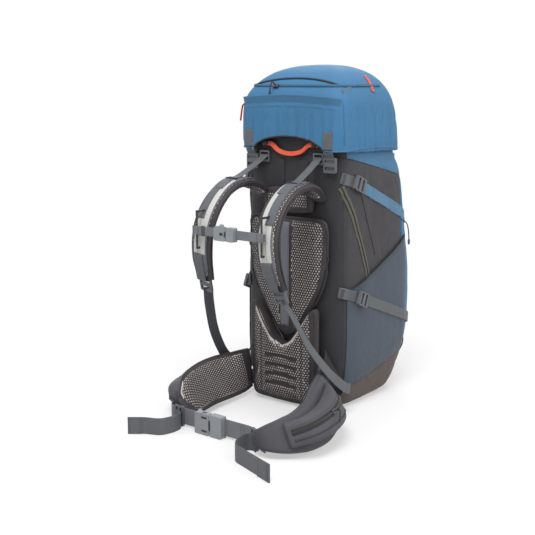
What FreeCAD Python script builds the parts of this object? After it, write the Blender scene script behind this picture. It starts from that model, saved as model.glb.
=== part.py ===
import FreeCAD, Part
import math
import os

os.makedirs("parts", exist_ok=True)
V = FreeCAD.Vector

# ---------------------------------------------------------------- sizes, mm
WALL = 3.0                 # shell of the bag and of the lid
FIT = 0.4                  # running clearance between plastic parts
SEAM = 0.3                 # clearance between soft parts of different bodies
WEB_T = 1.8                # webbing thickness
HIP_WEB = 38.0             # hip webbing width
WEB = 25.0                 # compression and strap webbing width
SMALL_WEB = 20.0           # sternum and load lifter webbing width
CORD_D = 3.0               # elastic and pull cord
TOUCH = 0.05               # what is sewn on stands off its cloth by this

# bag sections: height, half width, rear y, front y
BAG = [
    (0, 118, -88, 140),
    (18, 138, -104, 160),
    (60, 148, -110, 181),
    (130, 154, -112, 217),
    (210, 155, -112, 226),
    (310, 154, -112, 221),
    (446, 150, -112, 197),
    (530, 147, -112, 176),
    (572, 141, -112, 156),
    (600, 137, -111, 147),
    (622, 134, -110, 142),
]
BAG_REAR_N = 6.0           # squareness of the rear corners
BAG_FRONT_N = 3.6

LID = [
    (576, 147, -129, 158),
    (600, 148, -130, 157),
    (647, 147, -130, 151),
    (700, 142, -127, 134),
    (735, 124, -104, 114),
    (760, 94, -76, 90),
    (777, 50, -30, 56),
]
LID_REAR_N = 8.0
LID_FRONT_N = 4.0
LID_FLOOR_Z = 632.0

HINGE_Y = -130.0           # lid hinge line, rear hem
HINGE_Z = 590.0
HEM_DROP = 10.0            # the hem falls this much to the front

REAR_FACE = -112.0
PAD_FACE = -135.0          # outer face of the upper back pad
LUMBAR_FACE = -152.0
LUMBAR_HALF = 92.0

BELT_Y = -119.0            # belt hinge line
BELT_Z = 40.0
PLATE_T = 4.0
TUNNEL = (16.0, 64.0)
BEAD = 6.4                 # round core of the belt, turning behind the lumbar pad

HARNESS_Z = (447.0, 507.0)
HARNESS_TRAVEL = 35.0
STRAP_HALF = 31.0
STRAP_T = 17.0


# ---------------------------------------------------------------- helpers
def save(name, *solids):
    shape = solids[0] if len(solids) == 1 else Part.makeCompound(list(solids))
    shape.exportStep("parts/" + name + ".step")


def box(x0, x1, y0, y1, z0, z1):
    return Part.makeBox(x1 - x0, y1 - y0, z1 - z0, V(x0, y0, z0))


def block(x0, x1, y0, y1, z0, z1, r, axis="y"):
    """A box with its four edges along one axis rounded."""
    solid = box(x0, x1, y0, y1, z0, z1)
    way = {"x": V(1, 0, 0), "y": V(0, 1, 0), "z": V(0, 0, 1)}[axis]
    edges = []
    for e in solid.Edges:
        d = e.Vertexes[1].Point - e.Vertexes[0].Point
        if abs(d.normalize().dot(way)) > 0.99:
            edges.append(e)
    return solid.makeFillet(r, edges)


def radius(angle, n):
    """Reach of a unit superellipse at an angle."""
    return (abs(math.cos(angle)) ** n + abs(math.sin(angle)) ** n) ** (-1.0 / n)


def closed(points):
    curve = Part.BSplineCurve()
    curve.interpolate(points, PeriodicFlag=True)
    return Part.Wire([curve.toShape()])


def ring(row, grow, n_rear, n_front, count=32):
    z, hx, yb, yf = row
    mid = (yb + yf) / 2
    hy = (yf - yb) / 2
    points = []
    for i in range(count):
        a = 2 * math.pi * i / count - math.pi / 2
        r = radius(a, n_rear if math.sin(a) < 0 else n_front)
        points.append(V((hx + grow) * r * math.cos(a), mid + (hy + grow) * r * math.sin(a), z))
    return closed(points)


def hull(rows, grow, n_rear, n_front):
    """Smooth body through its level sections, grown or shrunk."""
    return Part.makeLoft([ring(row, grow, n_rear, n_front) for row in rows], True, False)


def bag(grow):
    return hull(BAG, grow, BAG_REAR_N, BAG_FRONT_N)


def lid(grow):
    top = LID[-1]
    rows = LID[:-1] + [(top[0] + min(grow, 0.0), top[1], top[2], top[3])]
    return hull(rows, grow, LID_REAR_N, LID_FRONT_N)


def above(z_mid, slope, tall=900.0):
    """Half space over the plane z = z_mid + slope * y."""
    r = 700.0
    points = [V(-r, -r, z_mid - slope * r), V(-r, r, z_mid + slope * r)]
    points += [V(-r, r, z_mid + tall), V(-r, -r, z_mid + tall)]
    return Part.Face(Part.makePolygon(points + points[:1])).extrude(V(2 * r, 0, 0))


def band(y0, z0, y1, z1, wide, x0, x1):
    """Slanted slab seen from the side, running through two points."""
    run = V(0, y1 - y0, z1 - z0).normalize()
    up = V(0, -run.z, run.y) * (wide / 2)
    a = V(x0, y0, z0)
    b = V(x0, y1, z1)
    wire = Part.makePolygon([a - up, b - up, b + up, a + up, a - up])
    return Part.Face(wire).extrude(V(x1 - x0, 0, 0))


def pad(stations, n=3.2, count=24):
    """Soft body through stations of centre, half width and half thickness."""
    rows = []
    for c, a, b in stations:
        turns = [2 * math.pi * (i + 0.5) / count for i in range(count)]
        row = [c + (a * math.cos(t) + b * math.sin(t)) * radius(t, n) for t in turns]
        rows.append(row + row[:1])
    surface = Part.BSplineSurface()
    surface.interpolate(rows)
    side = surface.toShape()
    ends = [Part.Face(Part.Wire([e])) for e in side.Edges if e.isClosed()]
    skin = Part.makeShell([side] + ends)
    skin.sewShape()
    solid = Part.makeSolid(skin)
    if solid.Volume < 0:
        solid.reverse()
    return solid


def ribbon(points, low, high, thick):
    """Webbing on its edge: a plan path given thickness, between two heights."""
    left = []
    right = []
    for i, (x, y) in enumerate(points):
        p = points[max(i - 1, 0)]
        q = points[min(i + 1, len(points) - 1)]
        d = V(q[0] - p[0], q[1] - p[1], 0).normalize()
        s = V(-d.y, d.x, 0) * (thick / 2)
        left.append(V(x, y, low) + s)
        right.append(V(x, y, low) - s)
    edges = []
    for side in (left, right):
        curve = Part.BSplineCurve()
        curve.interpolate(side)
        edges.append(curve.toShape())
    ends = [Part.makeLine(left[0], right[0]), Part.makeLine(left[-1], right[-1])]
    face = Part.Face(Part.Wire(Part.__sortEdges__(edges + ends)))
    return face.extrude(V(0, 0, high - low))


def bar(stations):
    """Square edged bar through stations of centre, half width, half thickness."""
    rings = []
    for c, a, b in stations:
        corners = [c - a - b, c + a - b, c + a + b, c - a + b]
        rings.append(Part.makePolygon(corners + corners[:1]))
    return Part.makeLoft(rings, True, True)


def strip(points, side, thick):
    """Flat webbing through 3-D points, side is its half width vector."""
    rows = []
    for i, p in enumerate(points):
        d = points[min(i + 1, len(points) - 1)] - points[max(i - 1, 0)]
        rows.append((p, side, d.cross(side).normalize() * (thick / 2)))
    return bar(rows)


def cord(points, d):
    """Round cord of straight runs joined by tangent arcs."""
    edges = []
    start = points[0]
    for i in range(1, len(points) - 1):
        a = points[i - 1] - points[i]
        b = points[i + 1] - points[i]
        turn = math.pi - a.getAngle(b)
        reach = 0.45 * min(a.Length, b.Length)
        radius = reach / math.tan(turn / 2)
        u = V(a).normalize()
        w = V(b).normalize()
        p = points[i] + u * reach
        q = points[i] + w * reach
        half = V(u + w).normalize()
        mid = points[i] + half * (math.hypot(reach, radius) - radius)
        if (p - start).Length > 1e-6:
            edges.append(Part.makeLine(start, p))
        edges.append(Part.Arc(p, mid, q).toShape())
        start = q
        print("cord bend radius", round(radius, 1))
    edges.append(Part.makeLine(start, points[-1]))
    path = Part.Wire(edges)
    way = points[1] - points[0]
    face = Part.Wire([Part.makeCircle(d / 2, points[0], way)])
    body = path.makePipeShell([face], True, True)
    length = sum(e.Length for e in edges)
    print("cord length", round(length, 1), "d", d, "volume share",
          round(body.Volume / (length * math.pi * d * d / 4), 3))
    return body


def main(shape):
    """The largest solid of a cut shape."""
    return max(shape.Solids, key=lambda s: s.Volume)


def place(shape, at, x_dir, y_dir):
    x = V(x_dir).normalize()
    z = x.cross(V(y_dir)).normalize()
    y = z.cross(x)
    out = shape.copy()
    out.Placement = FreeCAD.Placement(V(at), FreeCAD.Rotation(x, y, z, "XYZ"))
    return out


def mirrored(shape):
    return shape.mirror(V(0, 0, 0), V(1, 0, 0))


def both(shape):
    return shape, mirrored(shape)


def ladder(web, long, thick):
    """Ladder lock: frame with two windows, x along the webbing, y its thickness."""
    h = web / 2 + 3.5
    body = block(-long / 2, long / 2, 0, thick, -h, h, 3)
    gap = long / 5
    for x in (-long / 4, long / 5):
        body = body.cut(box(x - gap / 2, x + gap / 2, -1, thick + 1, -web / 2 - 0.5, web / 2 + 0.5))
    return body


def buckle_female(web, long, thick, deep):
    """Side release socket: mouth at x = 0, body on -x, y is its thickness."""
    h = web / 2 + 5
    body = block(-long, 0, 0, thick, -h, h, 4)
    body = body.cut(box(-deep, 1, 2.2, thick - 2.2, -h + 2.6, h - 2.6))
    for s in (-1, 1):
        z = s * h
        body = body.cut(box(-deep + 4, -deep + 15, 1.2, thick - 1.2, min(z, z - s * 4), max(z, z - s * 4)))
    return body


def buckle_male(web, long, thick, deep, play=FIT):
    """Side release plug: shoulder at x = 0, prongs on -x."""
    h = web / 2 + 5
    body = block(1.6, long, 0, thick, -h, h, 4)
    y0 = 2.2 + play
    y1 = thick - y0
    inner = h - 2.6 - FIT
    body = body.fuse(box(-deep + 3, 4, y0, y1, -3, 3))
    for s in (-1, 1):
        a = s * (inner - 4)
        b = s * inner
        body = body.fuse(box(-deep + 2, 4, y0, y1, min(a, b), max(a, b)))
    return body.removeSplitter()


# ---------------------------------------------------------------- bag shell
BASE_PLANE = (70.0, 0.20)
COLLAR_PLANE = (553.0, -0.24)
REAR_SEAM = -95.0
FRONT_SEAM = 130.0

inner = bag(-WALL).common(box(-400, 400, -400, 400, WALL, 700))
outer = bag(0)
near = bag(TOUCH)
shell = outer.cut(inner)
collar = shell.common(above(*COLLAR_PLANE))
base = shell.cut(above(*BASE_PLANE))
middle = shell.common(above(*BASE_PLANE)).cut(above(*COLLAR_PLANE))
save("collar", collar)
save("base_panel", base)
save("rear_panel", middle.common(box(-400, 400, -400, REAR_SEAM, -10, 700)))
save("front_panel", middle.common(box(-400, 400, FRONT_SEAM, 400, -10, 700)))
save("side_panel_right", middle.common(box(0, 400, REAR_SEAM, FRONT_SEAM, -10, 700)))
save("side_panel_left", middle.common(box(-400, 0, REAR_SEAM, FRONT_SEAM, -10, 700)))

# frame inside the rear wall
SHEET_T = 2.0
sheet_y = REAR_FACE + WALL + 0.5
sheet = block(-98, 98, sheet_y - 0.5, sheet_y + SHEET_T, 130, 540, 20)
save("frame_sheet", sheet.common(bag(-WALL - TOUCH)))
STAY_D = 6.0
stays = []
for x in (-55, 55):
    y = sheet_y + SHEET_T + STAY_D / 2
    stays.append(Part.makeCylinder(STAY_D / 2, 400, V(x, y, 135)))
save("frame_stays", *stays)
sleeve_y = sheet_y + SHEET_T + STAY_D
save("hydration_sleeve", block(-90, 90, sleeve_y, sleeve_y + 1.5, 150, 520, 15))

# draw cord inside the mouth, with its cord lock
MOUTH_Z = 612.0
lock_y = 143.8 - WALL - CORD_D - 8
lock_x = 9.0
core = ring((MOUTH_Z, 134.8, -110.4, 143.8), -WALL - FIT, BAG_REAR_N, BAG_FRONT_N)
slim = ring((MOUTH_Z, 134.8, -110.4, 143.8), -WALL - FIT - CORD_D, BAG_REAR_N, BAG_FRONT_N)
draw = Part.Face(core).extrude(V(0, 0, CORD_D)).cut(Part.Face(slim).extrude(V(0, 0, CORD_D)))
save("draw_cord", draw)
LOCK = (18.0, 12.0)
lock = Part.makeCylinder(LOCK[1] / 2, LOCK[0], V(lock_x, lock_y, MOUTH_Z - 16))
lock = lock.cut(Part.makeCylinder(LOCK[1] / 2 - 2, LOCK[0] - 3, V(lock_x, lock_y, MOUTH_Z - 13)))
arm = box(lock_x - 2, lock_x + 2, lock_y + 4.4, lock_y + 9.6, MOUTH_Z - 14, MOUTH_Z - 0.1)
save("cord_lock", lock.fuse(arm.cut(Part.makeCylinder(LOCK[1] / 2 - 1, 40, V(lock_x, lock_y, MOUTH_Z - 30)))))
button = Part.makeCylinder(LOCK[1] / 2 - 2 - FIT, 14, V(lock_x, lock_y, MOUTH_Z - 9))
save("cord_lock_button", button)

# ---------------------------------------------------------------- pockets and straps on the bag
POCKET_T = 3.5
pocket_skin = bag(POCKET_T).cut(near)
low_edge = above(BASE_PLANE[0] + 2, BASE_PLANE[1])
pocket_top = above(317, 0.418)
side_skin = pocket_skin.common(low_edge).cut(pocket_top)
side_pocket = side_skin.common(box(88, 400, -92, 148, -10, 700))
save("side_pocket_right", side_pocket)
save("side_pocket_left", mirrored(side_pocket))
front_box = block(-84, 84, 150, 300, 170, 430, 30)
save("front_pocket", pocket_skin.common(front_box))

UPPER = (-100, 532, 200, 403)
LOWER = (-104, 276, 196, 162)
upper_skin = bag(WEB_T).cut(near)
lower_skin = bag(POCKET_T + WEB_T).cut(bag(POCKET_T + TOUCH))
straps = []
for rows, skin in ((UPPER, upper_skin), (LOWER, lower_skin)):
    run = skin.common(band(*rows, WEB, 90, 300)).common(box(90, 300, -104, 300, 0, 700))
    straps += both(run)
save("compression_straps", *straps)

zips = main(upper_skin.common(band(-100, 516, -12, 268, 14, 100, 300)).cut(side_pocket).cut(straps[0]))
save("side_zips", *both(zips))
SLIDER = (16.0, 9.0)


def side_lock(y, z, face):
    lock = ladder(WEB, 38, 7)
    slope = V(0, UPPER[2] - UPPER[0], UPPER[3] - UPPER[1])
    return place(lock, (face, y, z), slope, (1, 0, 0))


upper_lock = side_lock(-66, 517, 148.6 + WEB_T)
lower_lock = side_lock(-60, 258, 155.0 + POCKET_T + WEB_T)
ladder_locks = both(upper_lock) + both(lower_lock)

# ---------------------------------------------------------------- back pads
def cushion(outline, y_in, y_out, edge):
    """Flat cushion from its outline in the back plane, edges drawn in."""
    cx = sum(p[0] for p in outline) / len(outline)
    cz = sum(p[1] for p in outline) / len(outline)
    span = max(abs(p[0] - cx) for p in outline)
    tall = max(abs(p[1] - cz) for p in outline)
    rings = []
    for y, inset in ((y_in, 0), (y_out + edge, 0), (y_out + edge * 0.3, edge * 0.4), (y_out, edge)):
        kx = 1 - inset / span
        kz = 1 - inset / tall
        rings.append(closed([V(cx + (x - cx) * kx, y, cz + (z - cz) * kz) for x, z in outline]))
    return Part.makeLoft(rings, True, True)


half_v = [(0, 160), (30, 176), (62, 218), (98, 286), (110, 340), (112, 390), (108, 430), (90, 440), (40, 441)]
v_outline = half_v + [(0, 441)] + [(-x, z) for x, z in reversed(half_v[1:])]
upper_pad = cushion(v_outline, REAR_FACE + 2, PAD_FACE, 8).cut(near)
save("upper_pad", upper_pad)
half_l = [(0, 152), (20, 160), (34, 172), (60, 204), (84, 244), (92, 240), (92, 150), (92, 40), (86, 10), (40, 5)]
l_outline = half_l + [(0, 5)] + [(-x, z) for x, z in reversed(half_l[1:])]
lumbar = cushion(l_outline, REAR_FACE + 25, LUMBAR_FACE, 8)
v_cut = cushion([(x * 1.05, z - 5) for x, z in v_outline], -100, -170, 0.1)
lumbar = lumbar.cut(v_cut).cut(near)
lumbar = lumbar.cut(box(-120, 120, -126, -90, *TUNNEL))
save("lumbar_pad", main(lumbar))
strip_up = block(-11, 11, PAD_FACE - WEB_T, PAD_FACE, 186, 428, 2)
rails = [box(x - 12, x + 12, REAR_FACE - WEB_T, REAR_FACE + 1, 450, 566).cut(near) for x in (-32, 32)]
save("torso_webbings", strip_up, *rails)

# ---------------------------------------------------------------- harness
yoke_y = REAR_FACE - WEB_T - SEAM
yoke = block(-66, 66, yoke_y - 15, yoke_y, *HARNESS_Z, 12)
save("harness_yoke", yoke)

# strap centre line, one side: x, y, z and the half width along the path
STRAP = [
    (74, -119, 486, 21),
    (79, -149, 507, 27),
    (83, -193, 518, 31),
    (85, -243, 509, 31),
    (86, -288, 474, 31),
    (89, -313, 424, 30),
    (95, -311, 366, 28),
    (102, -292, 312, 22),
]


def along(line, offset, half, t0=0, t1=None, wide=None):
    """Stations following the strap, offset to its outer side."""
    rows = line[t0:t1]
    out = []
    for i, (x, y, z, w) in enumerate(line):
        if (x, y, z, w) not in rows:
            continue
        p = line[max(i - 1, 0)]
        q = line[min(i + 1, len(line) - 1)]
        d = V(q[0] - p[0], q[1] - p[1], q[2] - p[2]).normalize()
        side = V(1, 0, 0) - d * d.x
        side.normalize()
        n = side.cross(d).normalize()
        if n.z + n.y * -1 < 0:
            n = n * -1
        out.append((V(x, y, z) + n * offset, side * (wide or w), n * half))
    return out


strap = pad(along(STRAP, 0, STRAP_T / 2)).cut(yoke)
strap = strap.cut(box(-400, 400, REAR_FACE - WEB_T - SEAM, 400, -10, 700))
save("shoulder_strap_right", strap)
save("shoulder_strap_left", mirrored(strap))
grown = pad(along(STRAP, 0, STRAP_T / 2 + 0.2))
facing = main(pad(along(STRAP, STRAP_T / 2 + 0.4, 1.6, 1, None, 21), 6).cut(grown))
save("strap_facings", *both(facing))
rail_web = pad(along(STRAP, STRAP_T / 2 + 3.2, 0.9, 4, None, 10), 8)
rail_web = main(rail_web.cut(facing))
save("strap_webbings", *both(rail_web))

# lower ladder locks hang on the strap ends
LOCK_LONG = 32.0
strap_end = V(*STRAP[-1][:3])
way = (strap_end - V(*STRAP[-2][:3])).normalize()
lock_at = strap_end + way * (LOCK_LONG / 2 + 0.3)
strap_lock = place(ladder(WEB, LOCK_LONG, 6), lock_at, way, (0, -1, -0.3))
save("strap_locks", *both(strap_lock.cut(strap)))
low_line = [lock_at + way * (LOCK_LONG / 2 + 0.4), V(136, -232, 180), V(156, -165, 100), V(156.5, -112, 62), V(156.5, -96, 56)]
low_side = V(0.45, -0.85, -0.28).normalize() * (WEB / 2)
low_web = strip(low_line, low_side, WEB_T)

# load lifters: lock on the bag, webbing down to the strap
LIFT_X = 75.0
lift_lock = place(ladder(SMALL_WEB, 26, 5), (LIFT_X, REAR_FACE - 0.1, 572), (0, 0, -1), (0, -1, 0))
ladder_locks += both(lift_lock)
lift_line = [V(LIFT_X, -118.1, 571), V(LIFT_X + 3, -150, 554), V(83, -205, 529.6)]
lift_web = strip(lift_line, V(SMALL_WEB / 2, 0, 0), WEB_T)
save("harness_webbings", *both(low_web), *both(lift_web))

# ---------------------------------------------------------------- sternum strap
ST_Y = -336.0              # outer face of the rails on the shoulder straps
ST_Z = 426.0
RAIL_X = 89.0
RAIL = (4.0, 2.0)
rail = box(RAIL_X - RAIL[0] / 2, RAIL_X + RAIL[0] / 2, ST_Y, ST_Y + RAIL[1], 384, 468)
top_foot = box(RAIL_X - 2, RAIL_X + 2, ST_Y, -296, 464, 468)
low_foot = box(RAIL_X - 2, RAIL_X + 2, ST_Y, -312, 384, 388)
rail = rail.fuse([top_foot, low_foot]).removeSplitter()
solid_strap = strap.fuse([facing, rail_web])
save("sternum_rails", *both(main(rail.cut(solid_strap))))
CLIP = (8.0, 9.0)
clip = block(RAIL_X - CLIP[1], RAIL_X + CLIP[0], ST_Y - 3, ST_Y + RAIL[1] + 2.4, ST_Z - 8, ST_Z + 8, 2)
hole = box(RAIL_X - 2 - FIT, RAIL_X + 2 + FIT, ST_Y - FIT, ST_Y + RAIL[1] + FIT, ST_Z - 20, ST_Z + 20)
clip = clip.cut(hole)
save("sternum_clips", *both(clip))


def plug_set(web, thick, deep, female_long, male_long, at, slot_y):
    """Socket and plug on the X axis with the webbing slot on their inner side."""
    slot = box(-400, 400, slot_y, slot_y + WEB_T + 2 * FIT, at.z - web / 2 - FIT, at.z + web / 2 + FIT)
    extra = slot_y + WEB_T + 2 * FIT + 2 - at.y
    h = web / 2 + 5
    female = buckle_female(web, female_long, thick, deep)
    tail = block(-female_long, -female_long + 10, thick - 1, extra, -h, h, 1.5, "x")
    female = female.fuse(tail).removeSplitter()
    male = buckle_male(web, male_long, thick, deep)
    back = block(1.6, male_long, thick - 1, extra, -h, h, 1.5, "x")
    male = male.fuse(back).removeSplitter()
    female.translate(at)
    male.translate(at)
    return female.cut(slot), male.cut(slot)


ST_THICK = 9.0
st_slot = ST_Y - 3.2 - WEB_T - FIT
st_at = V(4, st_slot - ST_THICK - 0.2, ST_Z)
st_female, st_male = plug_set(SMALL_WEB, ST_THICK, 18, 32, 22, st_at, st_slot)
save("sternum_buckle_female", st_female)
save("sternum_buckle_male", st_male)
web_y = st_slot + FIT
ST_HALF = SMALL_WEB / 2
right_web = box(14, RAIL_X + CLIP[0], web_y, web_y + WEB_T, ST_Z - ST_HALF, ST_Z + ST_HALF)
left_web = box(-RAIL_X - CLIP[0], -20, web_y, web_y + WEB_T, ST_Z - ST_HALF, ST_Z + ST_HALF)
pegs = [box(s * RAIL_X - 4, s * RAIL_X + 4, web_y + WEB_T, ST_Y - 3, ST_Z - 5, ST_Z + 5) for s in (1, -1)]
save("sternum_webbings", right_web.fuse(pegs[0]).removeSplitter(), left_web.fuse(pegs[1]).removeSplitter())

# ---------------------------------------------------------------- hip belt
plate = box(-114, 114, BELT_Y - PLATE_T / 2, BELT_Y + PLATE_T / 2, BELT_Z - 18, BELT_Z + 18)
bead = Part.makeCylinder(BEAD, 2 * (LUMBAR_HALF - 4), V(4 - LUMBAR_HALF, BELT_Y, BELT_Z), V(1, 0, 0))
save("belt_plate", plate.fuse(bead).removeSplitter())

# wing stations: top edge, bottom edge on the wearer side, thickness
WING_R = [
    ((103, -136, 116), (106, -119, 14), 7),
    ((112, -162, 121), (138, -152, 9), 14),
    ((135, -217, 110), (192, -205, 7), 19),
    ((158, -272, 103), (220, -262, 6), 20),
    ((180, -322, 92), (238, -318, 6), 19),
    ((188, -368, 84), (236, -368, 7), 17),
    ((178, -400, 75), (214, -404, 8), 14),
    ((160, -420, 62), (180, -428, 12), 11),
    ((146, -424, 52), (152, -428, 16), 9),
]
WING_L = [
    ((-103, -136, 116), (-106, -119, 14), 7),
    ((-124, -166, 113), (-98, -158, 10), 15),
    ((-148, -208, 110), (-92, -205, 12), 19),
    ((-146, -272, 108), (-88, -270, 14), 19),
    ((-126, -340, 102), (-76, -334, 14), 18),
    ((-110, -372, 84), (-70, -366, 14), 13),
    ((-98, -388, 60), (-72, -384, 16), 8),
]


def wing_rows(rows, outward, push=0.0, low=0.0, high=1.0, thick=None):
    out = []
    for i, (top, bottom, t) in enumerate(rows):
        a = V(*top)
        b = V(*bottom)
        p = V(*rows[max(i - 1, 0)][0]) + V(*rows[max(i - 1, 0)][1])
        q = V(*rows[min(i + 1, len(rows) - 1)][0]) + V(*rows[min(i + 1, len(rows) - 1)][1])
        run = (q - p).normalize()
        up = (a - b) * 0.5
        n = run.cross(V(up).normalize()).normalize() * outward
        centre = b + (a - b) * ((low + high) / 2)
        size = t if thick is None else thick[i]
        middle = centre + n * (push if thick is None else t + size / 2 - 1)
        out.append((middle if thick is not None else centre + n * (t / 2), up * (high - low), n * (size / 2)))
    return out


floor = box(-500, 500, -700, 400, -60, 0.3)
wing_right = pad(wing_rows(WING_R, -1), 4)
wing_left = pad(wing_rows(WING_L, 1), 4)
wing_right = main(wing_right.cut(plate).cut(floor))
wing_left = main(wing_left.cut(plate).cut(floor))
save("hip_wing_right", wing_right)
save("hip_wing_left", wing_left)

# zipped pockets on the wings: bulge at each station, and the part of the height
POCKET_R = (2, [12, 34, 38, 34, 14], 0.12, 0.82)
POCKET_L = (2, [18, 54, 50, 18], 0.25, 0.92)
ZIP_H = 1.2
SEAT_GAP = 0.45            # zip sliders run this far over their teeth
SLIDE_BODY = (14.0, 9.0, 4.0)


def hip_pocket(rows, side, spec, wing):
    """Pocket, its zip strip and the slider seated on the strip."""
    first, bulge, low, high = spec
    cut = rows[first:first + len(bulge)]
    stations = wing_rows(cut, side, 0, low, high, bulge)
    solid = main(pad(stations, 3).cut(wing).cut(floor))
    strip_rows = []
    for c, a, b in stations:
        out = V(b).normalize()
        strip_rows.append((c + a * 0.12, V(a).normalize() * 6, out * (b.Length + ZIP_H)))
    raised = pad([(c, a, b + V(b).normalize() * ZIP_H) for c, a, b in stations], 3)
    path = bar([(c + b, a, b * 0.5) for c, a, b in strip_rows])
    zipper = main(raised.common(path).cut(solid).cut(wing))
    pick = (len(bulge) - 1) // 2
    c, a, b = strip_rows[pick]
    run = (strip_rows[pick + 1][0] + strip_rows[pick + 1][2] - strip_rows[pick - 1][0] - strip_rows[pick - 1][2])
    run.normalize()
    slider = block(-SLIDE_BODY[0] / 2, SLIDE_BODY[0] / 2, 0, SLIDE_BODY[2],
                   -SLIDE_BODY[1] / 2, SLIDE_BODY[1] / 2, 2)
    out = (b - run * b.dot(run)).normalize()
    seat = c + b + out * SEAT_GAP
    slider = place(slider, seat, run, out)
    print("slider seat", [round(v, 2) for v in seat], "run", [round(v, 4) for v in run])
    return solid, zipper, slider, seat, run, out


pocket_r, zip_r, slider_r, seat_r, run_r, normal_r = hip_pocket(WING_R, -1, POCKET_R, wing_right)
pocket_l, zip_l, slider_l, seat_l, run_l, normal_l = hip_pocket(WING_L, 1, POCKET_L, wing_left)
save("hip_pocket_right", pocket_r)
save("hip_pocket_left", pocket_l)
save("hip_zips", zip_r, zip_l)
save("hip_slider_right", slider_r)
save("hip_slider_left", slider_l)

# hip buckle, webbing, adjusters and loose tails
HIP_Z = 24.6
hip_slot = -398.6
HIP_THICK = 13.0
hip_at = V(6, hip_slot - HIP_THICK - 0.2, HIP_Z)
hip_female, hip_male = plug_set(HIP_WEB, HIP_THICK, 26, 40, 34, hip_at, hip_slot)
save("hip_buckle_female", hip_female)
save("hip_buckle_male", hip_male)
hy = hip_slot + FIT + WEB_T / 2
hz = (HIP_Z - HIP_WEB / 2, HIP_Z + HIP_WEB / 2)
glide_r = place(ladder(HIP_WEB, 26, 6), (133, -409.4, HIP_Z), (0.9, -0.42, 0), (-0.42, -0.9, 0))
glide_l = place(ladder(HIP_WEB, 26, 6), (-88, hy - WEB_T / 2 - 0.1, HIP_Z), (-1, 0, 0), (0, -1, 0))
save("hip_adjusters", glide_r, glide_l)
flat_r = box(12, 100, hy - WEB_T / 2, hy + WEB_T / 2, *hz)
bend_r = ribbon([(100, hy), (112, hy - 1.5), (130, -406.5), (152, -417), (170, -424)], *hz, WEB_T)
hip_web_r = main(flat_r.fuse(bend_r).cut(wing_right).cut(glide_r).cut(pocket_r).cut(zip_r))
flat_l = box(-104, -28, hy - WEB_T / 2, hy + WEB_T / 2, *hz)
bend_l = ribbon([(-104, hy), (-114, hy + 1.5), (-124, -386), (-128, -372)], *hz, WEB_T)
hip_web_l = main(flat_l.fuse(bend_l).cut(wing_left).cut(glide_l).cut(pocket_l).cut(zip_l))
TAIL_Z = (0.4, 0.4 + HIP_WEB)
path_r = [(142, -421.5), (130, -416.3), (119, -424), (121, -450), (138, -481), (170, -494), (216, -510), (258, -524)]
path_l = [(-98, -405.4), (-86, -405.5), (-74, -413), (-70, -437), (-80, -468), (-112, -484), (-141, -505)]
tail_r = ribbon(path_r, *TAIL_Z, WEB_T)
tail_l = ribbon(path_l, *TAIL_Z, WEB_T)
save("hip_webbing_right", hip_web_r, main(tail_r.cut(glide_r).cut(hip_web_r)))
save("hip_webbing_left", hip_web_l, main(tail_l.cut(glide_l).cut(hip_web_l)))

# ---------------------------------------------------------------- lid
HEM = (HINGE_Z + HEM_DROP / 285 * HINGE_Y, -HEM_DROP / 285)
lid_out = lid(0)
lid_in = lid(-WALL)
arch = Part.Ellipse(V(0, 0, 0), 96, 34).toShape()
arch = Part.Face(Part.Wire([arch])).extrude(V(0, 0, 60))
arch = place(arch, (0, -110, HINGE_Z - 4), (1, 0, 0), (0, 0, 1))
hood = lid_out.cut(lid_in).common(above(*HEM)).cut(arch)
save("lid_shell", hood)
save("lid_floor", lid(-WALL - TOUCH).common(box(-300, 300, -300, 300, LID_FLOOR_Z, LID_FLOOR_Z + 2)))
lid_skin = lid(WEB_T).cut(lid(TOUCH))
ZIP_Z = 728.0
lid_zip = lid_skin.common(box(-300, 300, -300, 50, ZIP_Z - 6, ZIP_Z + 6))
save("lid_zip", lid_zip)


def touch(solid, start, way, reach=400.0):
    """First point of a solid met from start along a direction."""
    line = Part.makeLine(start, start + V(way).normalize() * reach)
    inside = line.common(solid)
    return min((v.Point for v in inside.Vertexes), key=lambda p: (p - start).Length)


slide_x = -45.0
spot = touch(lid_out, V(slide_x, -300, ZIP_Z), (0, 1, 0))
higher = touch(lid_out, V(slide_x, -300, ZIP_Z + 6), (0, 1, 0))
rise = (higher - spot).normalize()
normal = V(0, -rise.z, rise.y)
slider = block(-8, 8, 0, 4, -4.5, 4.5, 2)
lid_seat = spot + normal * (WEB_T + SEAT_GAP)
save("lid_zip_slider", place(slider, lid_seat, (1, 0, 0), normal))
print("lid seat", [round(v, 2) for v in lid_seat])

REAR_X = 108.0
rear_strap = lid_skin.common(box(REAR_X - WEB / 2, REAR_X + WEB / 2, -300, -60, HINGE_Z + 3, 700))
buckle_low = place(ladder(WEB, 34, 7), (REAR_X, REAR_FACE - WEB_T, 560), (0, 0, -1), (0, -1, 0))
rear_link = strip([V(REAR_X, REAR_FACE - 1, 545), V(REAR_X, REAR_FACE - 1, 579), V(REAR_X, -127, HINGE_Z - 1.5)],
                  V(WEB / 2, 0, 0), WEB_T)
rear_link = rear_link.cut(buckle_low).cut(near)
ladder_locks += both(buckle_low)
save("ladder_locks", *ladder_locks)

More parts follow.
